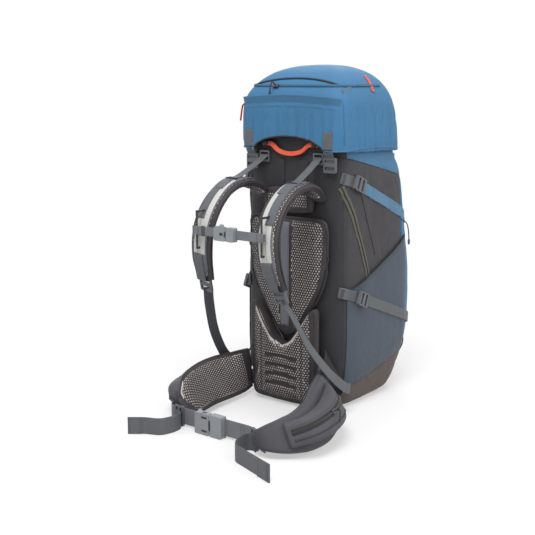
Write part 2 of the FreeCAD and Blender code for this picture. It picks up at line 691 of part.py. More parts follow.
# front straps: socket on the bag, plug on the lid
FS_X = 66.0
FS_THICK = 14.0
FS_PLAY = 2.6
FS_MOUTH = 548.0
low_face = touch(outer, V(FS_X, 400, FS_MOUTH - 36), (0, -1, 0)).y + WEB_T + 0.05
socket = buckle_female(WEB, 36, FS_THICK, 16)
front_socket = place(socket, (FS_X, low_face, FS_MOUTH), (0, 0, 1), (0, 1, 0))
plug = buckle_male(WEB, 20, FS_THICK, 10, FS_PLAY)
front_plug = place(plug, (FS_X, low_face, FS_MOUTH), (0, 0, 1), (0, 1, 0))
hold = upper_skin.common(box(FS_X - WEB / 2, FS_X + WEB / 2, 100, 400, 432, FS_MOUTH - 8)).cut(front_socket)
save("front_sockets", *both(front_socket))
save("lid_anchor_webbings", *both(main(hold)), *both(main(rear_link)))
mid_y = low_face + FS_THICK / 2
lid_y = touch(lid_out, V(FS_X, 400, 618), (0, -1, 0)).y + WEB_T / 2 + 0.05
hem_y = touch(lid_out, V(FS_X, 400, 590), (0, -1, 0)).y + WEB_T / 2 + 0.6
lead = strip([V(FS_X, lid_y, 618), V(FS_X, hem_y, 590), V(FS_X, mid_y, FS_MOUTH + 17)],
             V(WEB / 2, 0, 0), WEB_T)
lead = main(lead.cut(lid(TOUCH)).cut(front_plug))
save("front_plugs", *both(front_plug))
save("lid_straps", *both(lead), *both(rear_strap))

# haul loop turning in two sleeves
HAUL = (-119.5, 602.0)
HAUL_D = 9.0
HAUL_HALF = 76.0
SLEEVE = (62.0, 73.0)
sleeve = box(*SLEEVE, HAUL[0] - 6.5, REAR_FACE + 3, HAUL[1] - 6.5, HAUL[1] + 6.5)
bore = Part.makeCylinder(HAUL_D / 2 + FIT, 40, V(50, *HAUL), V(1, 0, 0))
sleeve = sleeve.cut(bore).cut(near)
save("haul_sleeves", *both(main(sleeve)))
half_sag = [(HAUL_HALF, 0), (49, 0), (26, -21)]
sag = [(-x, z) for x, z in half_sag] + half_sag[::-1]
haul = cord([V(x, 0, z) + V(0, *HAUL) for x, z in sag], HAUL_D)
save("haul_loop", haul)

# ---------------------------------------------------------------- cords
def hang(top, out, drop, lean):
    """Pull cord: leaves outwards, folds down and hangs."""
    a = V(top)
    b = a + V(out) * 16
    c = b + V(lean) * (drop * 0.45) + V(0, 0, -drop * 0.45)
    d = c + V(lean) * (drop * 0.2) + V(0, 0, -drop * 0.55)
    return cord([a, b, c, d], CORD_D)


save("hip_pull_right", hang(seat_r + normal_r * (SLIDE_BODY[2] + TOUCH), normal_r, 26, V(0.3, -0.5, 0)))
save("hip_pull_left", hang(seat_l + normal_l * (SLIDE_BODY[2] + TOUCH), normal_l, 20, V(-0.6, -0.8, 0)))
save("lid_pull", hang(lid_seat + normal * (4 + TOUCH), normal, 30, V(-0.2, -0.25, 0)))


def seated(x, z, reach):
    """Front point of the bag at a side and height, and one standing off it."""
    p = touch(outer, V(x, 500, z), (0, -1, 0))
    return p, p + V(0, reach, 0)


start, out = seated(104, 402, 30)
bungee = cord([start, out, out + V(-4, 26, -30), out + V(-6, 30, -66)], CORD_D)
start, out = seated(104, 112, 26)
last, low = seated(104, 62, 34)
axe = cord([start, out, out + V(0, 4, -28), low + V(0, -8, 0), last], CORD_D)
bungee = main(bungee.cut(bag(WEB_T + TOUCH)))
axe = main(axe.cut(near))
save("gear_cords", *both(bungee), *both(axe))
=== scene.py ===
# %% [markdown]
# A trekking backpack, dressed around its imported model. This file is a lesson in
# cells. The scene is in metres, the listed numbers are in millimetres, and the
# frame is the pack's own: Z up, the wearer's side towards -Y, X across.

# %% Load the frame
import math

import bmesh
import bpy
import numpy as np
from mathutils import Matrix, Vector, noise
from mathutils.bvhtree import BVHTree


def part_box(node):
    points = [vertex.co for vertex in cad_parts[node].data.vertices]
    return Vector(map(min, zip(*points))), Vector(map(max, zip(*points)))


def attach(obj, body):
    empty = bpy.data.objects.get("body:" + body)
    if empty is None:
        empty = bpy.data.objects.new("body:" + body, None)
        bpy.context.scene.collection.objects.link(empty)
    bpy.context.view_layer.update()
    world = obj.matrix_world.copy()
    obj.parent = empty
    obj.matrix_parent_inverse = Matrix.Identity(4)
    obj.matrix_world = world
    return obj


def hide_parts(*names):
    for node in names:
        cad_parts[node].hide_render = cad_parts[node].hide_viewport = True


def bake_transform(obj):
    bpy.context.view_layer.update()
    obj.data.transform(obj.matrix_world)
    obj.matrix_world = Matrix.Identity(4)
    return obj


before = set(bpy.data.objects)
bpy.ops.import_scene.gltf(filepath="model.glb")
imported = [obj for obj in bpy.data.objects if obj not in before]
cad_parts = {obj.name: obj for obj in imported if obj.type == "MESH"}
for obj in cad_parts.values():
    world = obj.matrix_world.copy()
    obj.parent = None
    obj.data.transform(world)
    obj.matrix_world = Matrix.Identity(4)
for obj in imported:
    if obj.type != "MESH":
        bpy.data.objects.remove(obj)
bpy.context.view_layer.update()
MM = 0.001
SIDES = ((1, "right"), (-1, "left"))
scene = bpy.context.scene

# %% [markdown]
# The camera stands behind the pack's right shoulder, a little above its middle. Its
# lens is long, so the straps keep their proportions.

# %% Camera
EYE = Vector((1.3190, -1.8893, 0.7495))
LOOK = Vector((-0.6044, 0.7735, -0.1908))
camera = bpy.data.objects.new("camera", bpy.data.cameras.new("camera"))
scene.collection.objects.link(camera)
camera.location = EYE
camera.rotation_euler = LOOK.to_track_quat("-Z", "Y").to_euler()
camera.data.lens = 65.94
camera.data.sensor_width = 36.0
scene.camera = camera
scene.view_settings.view_transform = "Standard"
print("camera at", tuple(EYE))

# %% [markdown]
# Node trees and plain meshes come up in every cell, so they get short calls first.


# %% Short calls for meshes and node trees
def flat_mesh(name, verts, faces, edges=()):
    mesh = bpy.data.meshes.new(name)
    mesh.from_pydata([tuple(v) for v in verts], list(edges), [tuple(f) for f in faces])
    mesh.update()
    return mesh


def add(name, data):
    obj = bpy.data.objects.new(name, data)
    scene.collection.objects.link(obj)
    return obj


class Tree:
    """A node tree with short calls to add and join nodes."""

    def __init__(self, tree, empty=False):
        self.tree = tree
        if empty:
            tree.nodes.clear()

    def node(self, kind, **values):
        made = self.tree.nodes.new(kind)
        for key, value in values.items():
            setattr(made, key, value)
        return made

    def feed(self, value, target):
        if isinstance(value, bpy.types.NodeSocket):
            self.tree.links.new(value, target)
        else:
            target.default_value = value

    def fill(self, kind, *values, **settings):
        """A node whose first inputs take the values in turn."""
        made = self.node(kind, **settings)
        for value, target in zip(values, made.inputs):
            self.feed(value, target)
        return made

    def named(self, kind, inputs, **settings):
        """A node whose inputs take the values by name."""
        made = self.node(kind, **settings)
        for label, value in inputs.items():
            self.feed(value, made.inputs[label])
        return made

    def math(self, operation, *values):
        return self.fill("ShaderNodeMath", *values, operation=operation).outputs[0]

    def times(self, first, *others):
        """The product of several values."""
        for other in others:
            first = self.math("MULTIPLY", first, other)
        return first

    def mix(self, share, a, b, blend="MIX"):
        made = self.node("ShaderNodeMix", data_type="RGBA", blend_type=blend)
        for value, place in ((share, 0), (a, 6), (b, 7)):
            self.feed(value, made.inputs[place])
        return made.outputs[2]

    def tint(self, colour, level):
        """A colour made lighter or darker by a level."""
        shade = self.fill("ShaderNodeCombineColor", level, level, level)
        return self.mix(1.0, colour, shade.outputs[0], "MULTIPLY")

    def ramp(self, value, low_in, high_in, low_out=0.0, high_out=1.0):
        return self.fill("ShaderNodeMapRange", value, low_in, high_in, low_out, high_out).outputs[0]

    def noise(self, vector, scale, detail=2.0, rough=0.5):
        return self.named("ShaderNodeTexNoise", {"Vector": vector, "Scale": scale, "Detail": detail,
                                                 "Roughness": rough}).outputs["Fac"]


# %% [markdown]
# Plain pale floor and soft lamps. The floor keeps the shadow of the pack and fades
# to white for the camera. Polished parts see the same white, and the lamps stay at
# a level at which a colour comes out about as it is written.


# %% Floor, world and lamps
WHITE = (1, 1, 1, 1)
AMBIENT = 0.56
FLOOR_SIZE = 8.0
FLOOR_GREY = (0.60, 0.59, 0.59, 1)
FLOOR_GLOW = 0.40
FADE_FROM, FADE_TO = 0.45, 1.3


def seen_white(m, strength):
    """Emission, and a mask of the camera, glossy and transmitted rays that meet it."""
    rays = m.node("ShaderNodeLightPath").outputs
    glow = m.fill("ShaderNodeEmission", WHITE, strength)
    first = m.math("MAXIMUM", rays["Is Camera Ray"], rays["Is Glossy Ray"])
    return glow, m.math("MAXIMUM", first, rays["Is Transmission Ray"])


world = bpy.data.worlds.new("studio")
scene.world = world
world.use_nodes = True
w = Tree(world.node_tree, True)
ambient = w.fill("ShaderNodeBackground", WHITE, AMBIENT)
white, mask = seen_white(w, 1.0)
mixed = w.fill("ShaderNodeMixShader", mask, ambient.outputs[0], white.outputs[0])
w.fill("ShaderNodeOutputWorld", mixed.outputs[0])

corners = [(x * FLOOR_SIZE, y * FLOOR_SIZE, 0) for x, y in ((-1, -1), (1, -1), (1, 1), (-1, 1))]
floor = add("floor", flat_mesh("floor", corners, [(0, 1, 2, 3)]))
ground = bpy.data.materials.new("pale_floor")
ground.use_nodes = True
m = Tree(ground.node_tree, True)
diffuse = m.fill("ShaderNodeBsdfDiffuse", FLOOR_GREY)
glow, mask = seen_white(m, FLOOR_GLOW)
lit = m.fill("ShaderNodeAddShader", diffuse.outputs[0], glow.outputs[0])
place = m.node("ShaderNodeTexCoord").outputs["Object"]
reach = m.fill("ShaderNodeVectorMath", place, operation="LENGTH").outputs["Value"]
fade = m.fill("ShaderNodeMapRange", reach, FADE_FROM, FADE_TO, interpolation_type="SMOOTHSTEP")
far = m.fill("ShaderNodeEmission", WHITE, 1.0)
paler = m.fill("ShaderNodeMixShader", fade.outputs[0], lit.outputs[0], far.outputs[0])
chosen = m.fill("ShaderNodeMixShader", mask, diffuse.outputs[0], paler.outputs[0])
m.fill("ShaderNodeOutputMaterial", chosen.outputs[0])
floor.data.materials.append(ground)


def lamp(name, place, aim, size, watts):
    light = bpy.data.lights.new(name, "AREA")
    light.size = size
    light.energy = watts
    obj = add(name, light)
    obj.location = place
    obj.rotation_euler = (Vector(aim) - Vector(place)).to_track_quat("-Z", "Y").to_euler()


lamp("key", (0.7, -1.5, 2.9), (0.05, -0.1, 0.4), 1.6, 58)
lamp("fill", (2.6, 0.2, 1.6), (0.0, 0.0, 0.35), 2.0, 20)
lamp("back", (-1.6, 2.2, 2.2), (0.0, 0.0, 0.4), 1.8, 26)

# %% [markdown]
# Finishes. Real pack cloth is never one colour: it has a weave, a ripstop grid, dust
# in the low places and a paler bloom where it rubs. Each of these is a node group
# with named inputs, built once, and every cloth places them with its own values.


# %% The woven cloth group
TURN = 6.283
DUST_TONE = (0.22, 0.21, 0.20, 1)


def tone(r, g, b):
    """A screen colour, 0 to 255, as the linear colour that the shader wants."""
    shares = (r / 255, g / 255, b / 255)
    return tuple(c / 12.92 if c <= 0.04045 else ((c + 0.055) / 1.055) ** 2.4 for c in shares)


def group(name, vectors=("Place",), colours=("Colour",), **numbers):
    """An empty shader group, its inputs by name, and its end with three outputs."""
    tree = bpy.data.node_groups.new(name, "ShaderNodeTree")
    inputs = [(label, "Vector") for label in vectors] + [(label, "Color") for label in colours]
    for label, kind in inputs + [(label, "Float") for label in numbers]:
        made = tree.interface.new_socket(name=label, in_out="INPUT", socket_type="NodeSocket" + kind)
        if label in numbers:
            made.default_value = numbers[label]
    for label, kind in (("Colour", "Color"), ("Roughness", "Float"), ("Height", "Float")):
        tree.interface.new_socket(name=label, in_out="OUTPUT", socket_type="NodeSocket" + kind)
    t = Tree(tree)
    return t, t.node("NodeGroupInput").outputs, t.node("NodeGroupOutput")


def close(t, ending, colour, roughness, height):
    for label, value in (("Colour", colour), ("Roughness", roughness), ("Height", height)):
        t.feed(value, ending.inputs[label])
    print("group", t.tree.name)


t, given, ending = group("woven_cloth", Threads=4400.0, Ripstop=0.0, Grid=160.0, Variation=0.12, Dust=0.1)
place = given["Place"]
parts = t.fill("ShaderNodeSeparateXYZ", place).outputs
threads = lines = 0.0
for axis in range(3):
    threads = t.math("ADD", threads, t.math("SINE", t.times(parts[axis], given["Threads"])))
    grid = t.math("FRACT", t.times(parts[axis], given["Grid"]))
    lines = t.math("MAXIMUM", lines, t.math("LESS_THAN", grid, 0.10))
weave = t.ramp(threads, -2.0, 2.0)
ripstop = t.times(lines, given["Ripstop"])
patch = t.noise(place, 9.0, 4.0, 0.6)
fine = t.noise(place, 340.0)
level = t.math("ADD", t.ramp(patch, 0.3, 0.7, -1.0, 1.0), t.ramp(fine, 0.3, 0.7, -0.5, 0.5))
level = t.math("ADD", t.times(level, given["Variation"]), 1.0)
level = t.math("SUBTRACT", level, t.times(ripstop, 0.35))
level = t.times(level, t.ramp(weave, 0.0, 1.0, 0.90, 1.06))
dust = t.times(t.ramp(t.noise(place, 26.0, 5.0, 0.7), 0.5, 0.8), given["Dust"])
height = t.math("ADD", t.math("ADD", t.times(weave, 0.5), ripstop), t.times(fine, 0.6))
close(t, ending, t.mix(dust, t.tint(given["Colour"], level), DUST_TONE),
      t.ramp(patch, 0.3, 0.7, 0.62, 0.82), height)

# %% [markdown]
# Webbing is woven narrow: fine ribs across it and two firmer edges. It reads the
# strap's own map, U across and V along, so the ribs follow every bend.

# %% The webbing group
t, given, ending = group("ribbed_webbing", ("Map", "Place"), Ribs=520.0, Wear=0.15)
across, along = t.fill("ShaderNodeSeparateXYZ", given["Map"]).outputs[:2]
border = t.ramp(t.math("ABSOLUTE", t.math("SUBTRACT", across, 0.5)), 0.38, 0.42)
herring = t.times(t.math("PINGPONG", across, 0.125), 12.0)
ribs = t.math("SINE", t.times(t.math("ADD", t.times(along, given["Ribs"]), herring), TURN))
rib = t.ramp(ribs, -1.0, 1.0)
rub = t.noise(given["Place"], 60.0, 4.0, 0.65)
level = t.math("ADD", t.ramp(rib, 0.0, 1.0, 0.80, 1.08), t.times(border, -0.10))
level = t.times(level, t.ramp(rub, 0.3, 0.7, 0.92, 1.08))
worn = t.times(border, t.ramp(rub, 0.5, 0.7), given["Wear"])
close(t, ending, t.mix(worn, t.tint(given["Colour"], level), (0.5, 0.5, 0.5, 1)),
      t.ramp(rub, 0.3, 0.7, 0.55, 0.75), t.math("ADD", rib, t.times(border, 0.4)))

# %% [markdown]
# Moulded plastic has a fine spark-eroded grain, a slight mottle, and scuffs that
# catch the light. Braided cord is a helix of strands around its own length, with
# painted shade darkening the grooves between the strands.

# %% The moulded plastic and the braid groups
t, given, ending = group("moulded", Grain=900.0, Scuffs=0.2)
place = given["Place"]
grain = t.noise(place, given["Grain"])
mottle = t.noise(place, 70.0, 3.0, 0.6)
stretched = t.named("ShaderNodeMapping", {"Vector": place, "Scale": (1.0, 1.0, 7.0)}).outputs[0]
scratch = t.times(t.ramp(t.noise(stretched, 160.0, 3.0, 0.7), 0.58, 0.66), given["Scuffs"])
tinted = t.tint(given["Colour"], t.ramp(mottle, 0.3, 0.7, 0.93, 1.07))
close(t, ending, t.mix(scratch, tinted, (0.6, 0.6, 0.6, 1)),
      t.math("ADD", t.ramp(mottle, 0.3, 0.7, 0.36, 0.5), scratch),
      t.math("SUBTRACT", grain, t.times(scratch, 0.5)))

t, given, ending = group("braid", ("Map",), ("Colour", "Fleck"), Pitch=260.0)
across, along = t.fill("ShaderNodeSeparateXYZ", given["Map"]).outputs[:2]
turn = t.times(across, 3.0)
along = t.times(along, given["Pitch"])
one, two = [t.math("SINE", t.times(t.math(sign, along, turn), TURN)) for sign in ("ADD", "SUBTRACT")]
strand = t.ramp(t.math("MAXIMUM", one, two), -0.4, 1.0)
fleck = t.times(t.math("GREATER_THAN", t.times(one, two), 0.55), 0.5)
# painted shade: the grooves between strands are darkened to 0.45 of the cord's colour
painted_groove_shade = t.mix(1.0, given["Colour"], (0.45, 0.45, 0.45, 1), "MULTIPLY")
close(t, ending, t.mix(fleck, t.mix(strand, painted_groove_shade, given["Colour"]), given["Fleck"]),
      t.ramp(strand, 0.0, 1.0, 0.75, 0.5), strand)

# %% [markdown]
# A finish is one group feeding a Principled shader and a Bump node. Cloth rows give
# the colour, the relief in millimetres, the mottle and the strength of the ripstop.


# %% Materials built from the groups
def finish(name, kind, colour, bump, fleck=None, sheen=0.0, metallic=0.0, **values):
    made = bpy.data.materials.new(name)
    made.use_nodes = True
    m = Tree(made.node_tree, True)
    shader = m.node("ShaderNodeBsdfPrincipled")
    m.fill("ShaderNodeOutputMaterial", shader.outputs[0])
    used = m.node("ShaderNodeGroup", node_tree=bpy.data.node_groups[kind])
    where = m.node("ShaderNodeTexCoord").outputs
    used.inputs["Colour"].default_value = (*tone(*colour), 1)
    if fleck:
        used.inputs["Fleck"].default_value = (*tone(*fleck), 1)
    for key, value in values.items():
        used.inputs[key.capitalize()].default_value = value
    for label, source in (("Place", "Object"), ("Map", "UV")):
        if label in used.inputs:
            m.feed(where[source], used.inputs[label])
    relief = m.named("ShaderNodeBump", {"Strength": 0.5, "Distance": bump * MM, "Height": used.outputs["Height"]})
    for label, value in (("Base Color", used.outputs["Colour"]), ("Roughness", used.outputs["Roughness"]),
                         ("Normal", relief.outputs[0]), ("Sheen Weight", sheen), ("Metallic", metallic)):
        m.feed(value, shader.inputs[label])
    F[name] = made


F = {}
SHEEN = 0.03
DUSTY = ("base_brown", "side_grey", "wing_grey")
CLOTH = {
    "lid_blue": ((60, 118, 160), 0.25, 0.07, 0.05),
    "collar_blue": ((72, 120, 158), 0.25, 0.07, 0.25),
    "front_blue": ((66, 118, 156), 0.25, 0.07, 0.25),
    "side_grey": ((60, 58, 62), 0.3, 0.10, 0.15),
    "back_grey": ((46, 45, 49), 0.3, 0.10, 0.0),
    "slate_stretch": ((74, 84, 96), 0.2, 0.05, 0.0),
    "base_brown": ((90, 81, 77), 0.6, 0.14, 0.0),
    "wing_grey": ((78, 77, 83), 0.3, 0.08, 0.0),
    "facing_pale": ((206, 207, 203), 0.2, 0.04, 0.0),
    "facing_grey": ((112, 114, 122), 0.2, 0.05, 0.0),
    "spacer_pale": ((208, 202, 198), 0.4, 0.10, 0.0),
    "net_dark": ((60, 55, 58), 0.3, 0.10, 0.0),
    "binding_dark": ((44, 44, 48), 0.3, 0.10, 0.0),
    # near-black cloth of the hip fins, which also serve as painted shade for the gap between wing and bag
    "fin_black_and_gap_shade": ((24, 24, 27), 0.3, 0.10, 0.0),
    "thread_dark": ((52, 54, 60), 0.2, 0.05, 0.0),
    "thread_blue": ((52, 96, 134), 0.2, 0.05, 0.0),
    "tape_olive": ((92, 92, 82), 0.3, 0.06, 0.0),
    "tape_black": ((34, 34, 38), 0.3, 0.06, 0.0),
    "reflective": ((226, 226, 222), 0.1, 0.02, 0.0),
    "tab_red": ((214, 84, 66), 0.3, 0.06, 0.0),
}
for name, (colour, bump, variation, ripstop) in CLOTH.items():
    finish(name, "woven_cloth", colour, bump, sheen=SHEEN, variation=variation, ripstop=ripstop,
           dust=0.10 if name in DUSTY else 0.03)
WEBBING = {
    "web_grey": (98, 101, 106), "web_dark": (74, 76, 81), "web_blue": (92, 134, 166),
    "web_hip": (122, 125, 130), "web_orange": (238, 98, 66), "keeper_plum": (72, 68, 92),
}
for name, colour in WEBBING.items():
    finish(name, "ribbed_webbing", colour, 0.35, sheen=SHEEN)
PLASTIC = {
    "plastic_grey": (92, 95, 100), "plastic_pale": (142, 147, 152), "plastic_black": (36, 36, 39),
    "plastic_blue": (74, 112, 146), "plastic_white": (190, 190, 184),
}
for name, colour in PLASTIC.items():
    finish(name, "moulded", colour, 0.12)
finish("slider_metal", "moulded", (96, 98, 102), 0.05, metallic=0.9, scuffs=0.4)
finish("stay_metal", "moulded", (180, 182, 184), 0.05, metallic=1.0, scuffs=0.3)
finish("cord_orange", "braid", (232, 84, 56), 0.3, (240, 150, 120))
finish("cord_blue", "braid", (66, 104, 142), 0.3, (120, 150, 180))
finish("cord_black", "braid", (40, 40, 46), 0.3, (90, 90, 98))
print("finishes", len(F))

# %% [markdown]
# A few tools of the trade. Most pieces are a grid of points: round the piece one
# way, along it the other. A spline through given stations gives the points in
# between, so a long strap needs only a handful of numbers.


# %% Grid and spline helpers
PER_SPAN = 24


def unit(rows):
    """Each row of an array made one long."""
    return rows / np.linalg.norm(rows, axis=1)[:, None]


def walked(points):
    """How far along its line each point lies."""
    steps = np.linalg.norm(np.diff(points[:, :3], axis=0), axis=1)
    return np.concatenate([[0], np.cumsum(steps)])


def spline(rows, count):
    """Catmull-Rom curve through rows of numbers, at evenly spaced places along it."""
    p = np.array(rows, float)
    q = np.vstack([2 * p[0] - p[1], p, 2 * p[-1] - p[-2]])
    fine = []
    for i in range(len(p) - 1):
        a, b, c, d = q[i:i + 4]
        for t in np.linspace(0, 1, PER_SPAN, endpoint=i == len(p) - 2):
            fine.append(0.5 * (2 * b + (c - a) * t + (2 * a - 5 * b + 4 * c - d) * t ** 2
                               + (3 * b - a - 3 * c + d) * t ** 3))
    fine = np.array(fine)
    reach = walked(fine)
    wanted = np.linspace(0, reach[-1], count)
    return np.stack([np.interp(wanted, reach, fine[:, k]) for k in range(fine.shape[1])], axis=1)


def reach_of(angle, n):
    """Reach of a unit rounded square of squareness n at an angle."""
    return (abs(math.cos(angle)) ** n + abs(math.sin(angle)) ** n) ** (-1.0 / n)


def grid_mesh(name, points, closed=True, caps=False):
    """A mesh from rows of points in mm, with a UV map in columns and rows."""
    points = np.array(points) * MM
    rows, cols = points.shape[:2]
    verts = points.reshape(-1, 3).tolist()
    faces = []
    uvs = []
    last = cols if closed else cols - 1
    for i in range(rows - 1):
        for j in range(last):
            k = (j + 1) % cols
            faces.append((i * cols + j, i * cols + k, (i + 1) * cols + k, (i + 1) * cols + j))
            uvs += [(j / last, i), ((j + 1) / last, i), ((j + 1) / last, i + 1), (j / last, i + 1)]
    for row, turned in ((0, True), (rows - 1, False)) if caps else ():
        verts.append(points[row].mean(axis=0).tolist())
        for j in range(cols):
            pair = [row * cols + j, row * cols + (j + 1) % cols]
            faces.append(tuple((pair[::-1] if turned else pair) + [len(verts) - 1]))
            uvs += [(j / cols, row)] * 3
    mesh = flat_mesh(name, verts, faces)
    mesh.uv_layers.new(name="Map")
    mesh.uv_layers["Map"].data.foreach_set("uv", np.array(uvs, float).ravel())
    mesh.polygons.foreach_set("use_smooth", [True] * len(mesh.polygons))
    mesh.update()
    return mesh


def outward(mesh):
    """Points all faces outwards, after doubles are merged."""
    bm = bmesh.new()
    bm.from_mesh(mesh)
    bmesh.ops.remove_doubles(bm, verts=bm.verts, dist=1e-6)
    bmesh.ops.recalc_face_normals(bm, faces=bm.faces)
    bm.to_mesh(mesh)
    bm.free()


def closed_piece(name, rows):
    """An object from closed rings, with both ends filled and its faces outwards."""
    obj = add(name, grid_mesh(name, rows, True, True))
    outward(obj.data)
    return obj


def surface(mesh):
    """A mesh's surface in mm, for laying other pieces on it."""
    return BVHTree.FromPolygons([v.co / MM for v in mesh.vertices], [tuple(p.vertices) for p in mesh.polygons])


def evaluated(obj):
    return obj.evaluated_get(bpy.context.evaluated_depsgraph_get())


def surface_of(obj):
    """The surface of a finished piece, with its modifiers."""
    return surface(evaluated(obj).data)


def made_plain(obj):
    """Keeps what the modifiers make as the piece's plain mesh."""
    obj.data = bpy.data.meshes.new_from_object(evaluated(obj))
    obj.modifiers.clear()
    return obj


def ray(tree, p, way, lift=0.0):
    """The place where a ray from p first meets a surface, raised by lift, and its normal."""
    spot, normal = tree.ray_cast(Vector(p), Vector(way).normalized())[:2]
    return None if spot is None else (spot + normal * lift, normal)


def subdivided(obj):
    smooth = obj.modifiers.new("smooth", "SUBSURF")
    smooth.levels = smooth.render_levels = 1
    return obj


def hollow(obj, thick, offset=-1.0):
    """Gives a cloth surface its own thickness, inwards unless offset says otherwise."""
    wall = obj.modifiers.new("cloth_thickness", "SOLIDIFY")
    wall.thickness = thick * MM
    wall.offset = offset
    return obj


# %% [markdown]
# Filled cloth swells. A short simulation with air pressure inside gives a pad the
# soft look of foam under net, and a cap keeps every point near its solid.


# %% Swelling, finishes and joining
STIFFNESS = 12.0
FRAMES = 20


def settle(obj, pressure, cap, pin=()):
    """Lets the piece swell like filled cloth, no point moving more than cap, in metres."""
    before = np.array([v.co for v in obj.data.vertices])
    cloth = obj.modifiers.new("cloth", "CLOTH")
    values = {"quality": 4, "mass": 0.25, "tension_stiffness": STIFFNESS, "compression_stiffness": STIFFNESS,
              "shear_stiffness": STIFFNESS / 2, "bending_stiffness": 0.4, "use_pressure": True,
              "uniform_pressure_force": pressure}
    for key, value in values.items():
        setattr(cloth.settings, key, value)
    cloth.settings.effector_weights.gravity = 0.0
    cloth.point_cache.frame_start = 1
    cloth.point_cache.frame_end = FRAMES
    if pin:
        held = obj.vertex_groups.new(name="held")
        held.add([int(i) for i in pin], 1.0, "REPLACE")
        cloth.settings.vertex_group_mass = "held"
    for number in range(1, FRAMES + 1):
        scene.frame_set(number)
    after = np.array([v.co for v in evaluated(obj).data.vertices])
    obj.modifiers.remove(cloth)
    scene.frame_set(1)
    obj.vertex_groups.clear()
    move = after - before
    length = np.maximum(np.linalg.norm(move, axis=1), 1e-9)
    move *= np.minimum(1.0, cap / length)[:, None]
    obj.data.vertices.foreach_set("co", (before + move).ravel())
    obj.data.update()
    print("settled", obj.name, "moved up to mm", round(float(np.minimum(length, cap).max()) / MM, 1))


def keep(obj, body, slot, finishes, *replaced):
    """Gives a finished piece its materials and body, and hides the imported nodes it stands for; slot is not used."""
    several = not isinstance(finishes, str)
    marks = [f.material_index for f in obj.data.polygons] if several else []
    obj.data.materials.clear()
    for finish_name in finishes if several else [finishes]:
        obj.data.materials.append(F[finish_name])
    for face, mark in zip(obj.data.polygons, marks):
        face.material_index = mark
    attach(obj, body)
    if replaced:
        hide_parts(*replaced)
    return obj


def two_tone(obj, second):
    """Marks the faces the second finish goes on: second(centre in mm, normal) says which."""
    for f in obj.data.polygons:
        f.material_index = int(second(f.center / MM, f.normal))
    return obj


def joined(name, objects):
    """Several mesh objects made one, keeping each one's finish."""
    for obj in bpy.context.selected_objects:
        obj.select_set(False)
    for obj in objects:
        obj.select_set(True)
    bpy.context.view_layer.objects.active = objects[0]
    bpy.ops.object.join()
    objects[0].name = name
    objects[0].select_set(False)
    return objects[0]


# %% [markdown]
# Webbing is modelled directly: a flat, slightly crowned band swept along its path,
# with its own map. A strap that lies on the bag takes its places and its facing
# from the bag's surface.


# %% Webbing and tubes
BAND_HALF = [(1, 0.35), (0.96, 0.9), (0.8, 0.9), (0, 1.0), (-0.8, 0.9), (-0.96, 0.9), (-1, 0.35)]
BAND = [(-a, -b) for a, b in BAND_HALF] + BAND_HALF
WIDE = 25


def webbing(name, centres, sides, width, thick=1.8):
    """A closed flat band; sides are directions across it. Sizes in mm."""
    c = np.array(centres, float)
    s = np.array(sides, float)
    if s.ndim == 1:
        s = np.tile(s, (len(c), 1))
    run = unit(np.gradient(c, axis=0))
    s = unit(s - run * (s * run).sum(axis=1)[:, None])
    up = np.cross(run, s)
    rows = [[p + a * width / 2 * q + b * thick / 2 * n for a, b in BAND] for p, q, n in zip(c, s, up)]
    mesh = grid_mesh(name, rows, True, True)
    step = walked(c) * MM
    layer = mesh.uv_layers["Map"].data
    for poly in mesh.polygons:
        for loop in poly.loop_indices:
            row, col = divmod(mesh.loops[loop].vertex_index, len(BAND))
            layer[loop].uv = ((BAND[col][0] + 1) / 2, step[row]) if row < len(c) else (0.5, step[-1])
    outward(mesh)
    return add(name, mesh)


def tube(name, centres, radius, sides=8):
    """A round cord or piping along points, in mm, with a map round and along it."""
    c = np.array(centres, float)
    run = unit(np.gradient(c, axis=0))
    a = np.cross(run[0], (0.3, 0.5, 0.8))
    turn = np.arange(sides) * 2 * math.pi / sides
    rows = []
    for p, d in zip(c, run):
        a = a - d * a.dot(d)
        a /= np.linalg.norm(a)
        rows.append(p + radius * (np.outer(np.cos(turn), a) + np.outer(np.sin(turn), np.cross(d, a))))
    mesh = grid_mesh(name, rows, True, True)
    step = walked(c) * MM
    for loop in mesh.uv_layers["Map"].data:
        row = min(int(round(loop.uv[1])), len(c) - 1)
        loop.uv = (loop.uv[0], step[row])
    outward(mesh)
    return add(name, mesh)


def strap(name, centres, sides, width, thick, *kept):
    """Webbing that is finished at once; kept is what keep() wants."""
    return keep(webbing(name, centres, sides, width, thick), *kept)


def cord(name, centres, radius, *kept):
    """Piping or another held round cord that is finished at once."""
    return keep(tube(name, centres, radius), *kept)


# %% [markdown]
# Stitches and zip teeth are the same small shape over and over along a line, which
# is what Geometry Nodes are for. The tree takes a line of edges, walks it at an even
# spacing and stands one small body at each step, turned along the line.


# %% Geometry Nodes: a row of small bodies along a line
def geometry_tree(name, **inputs):
    tree = bpy.data.node_groups.new(name, "GeometryNodeTree")
    for label, kind in {"Geometry": "Geometry", **inputs, "Finish": "Material"}.items():
        tree.interface.new_socket(name=label, in_out="INPUT", socket_type="NodeSocket" + kind)
    tree.interface.new_socket(name="Geometry", in_out="OUTPUT", socket_type="NodeSocketGeometry")
    g = Tree(tree)
    return g, g.node("NodeGroupInput").outputs


def end_tree(g, given, made):
    """Realize Instances and Set Material, which every tree ends in."""
    real = g.fill("GeometryNodeRealizeInstances", made)
    painted = g.named("GeometryNodeSetMaterial", {"Geometry": real.outputs[0], "Material": given["Finish"]})
    g.feed(painted.outputs[0], g.node("NodeGroupOutput").inputs[0])
    return g.tree


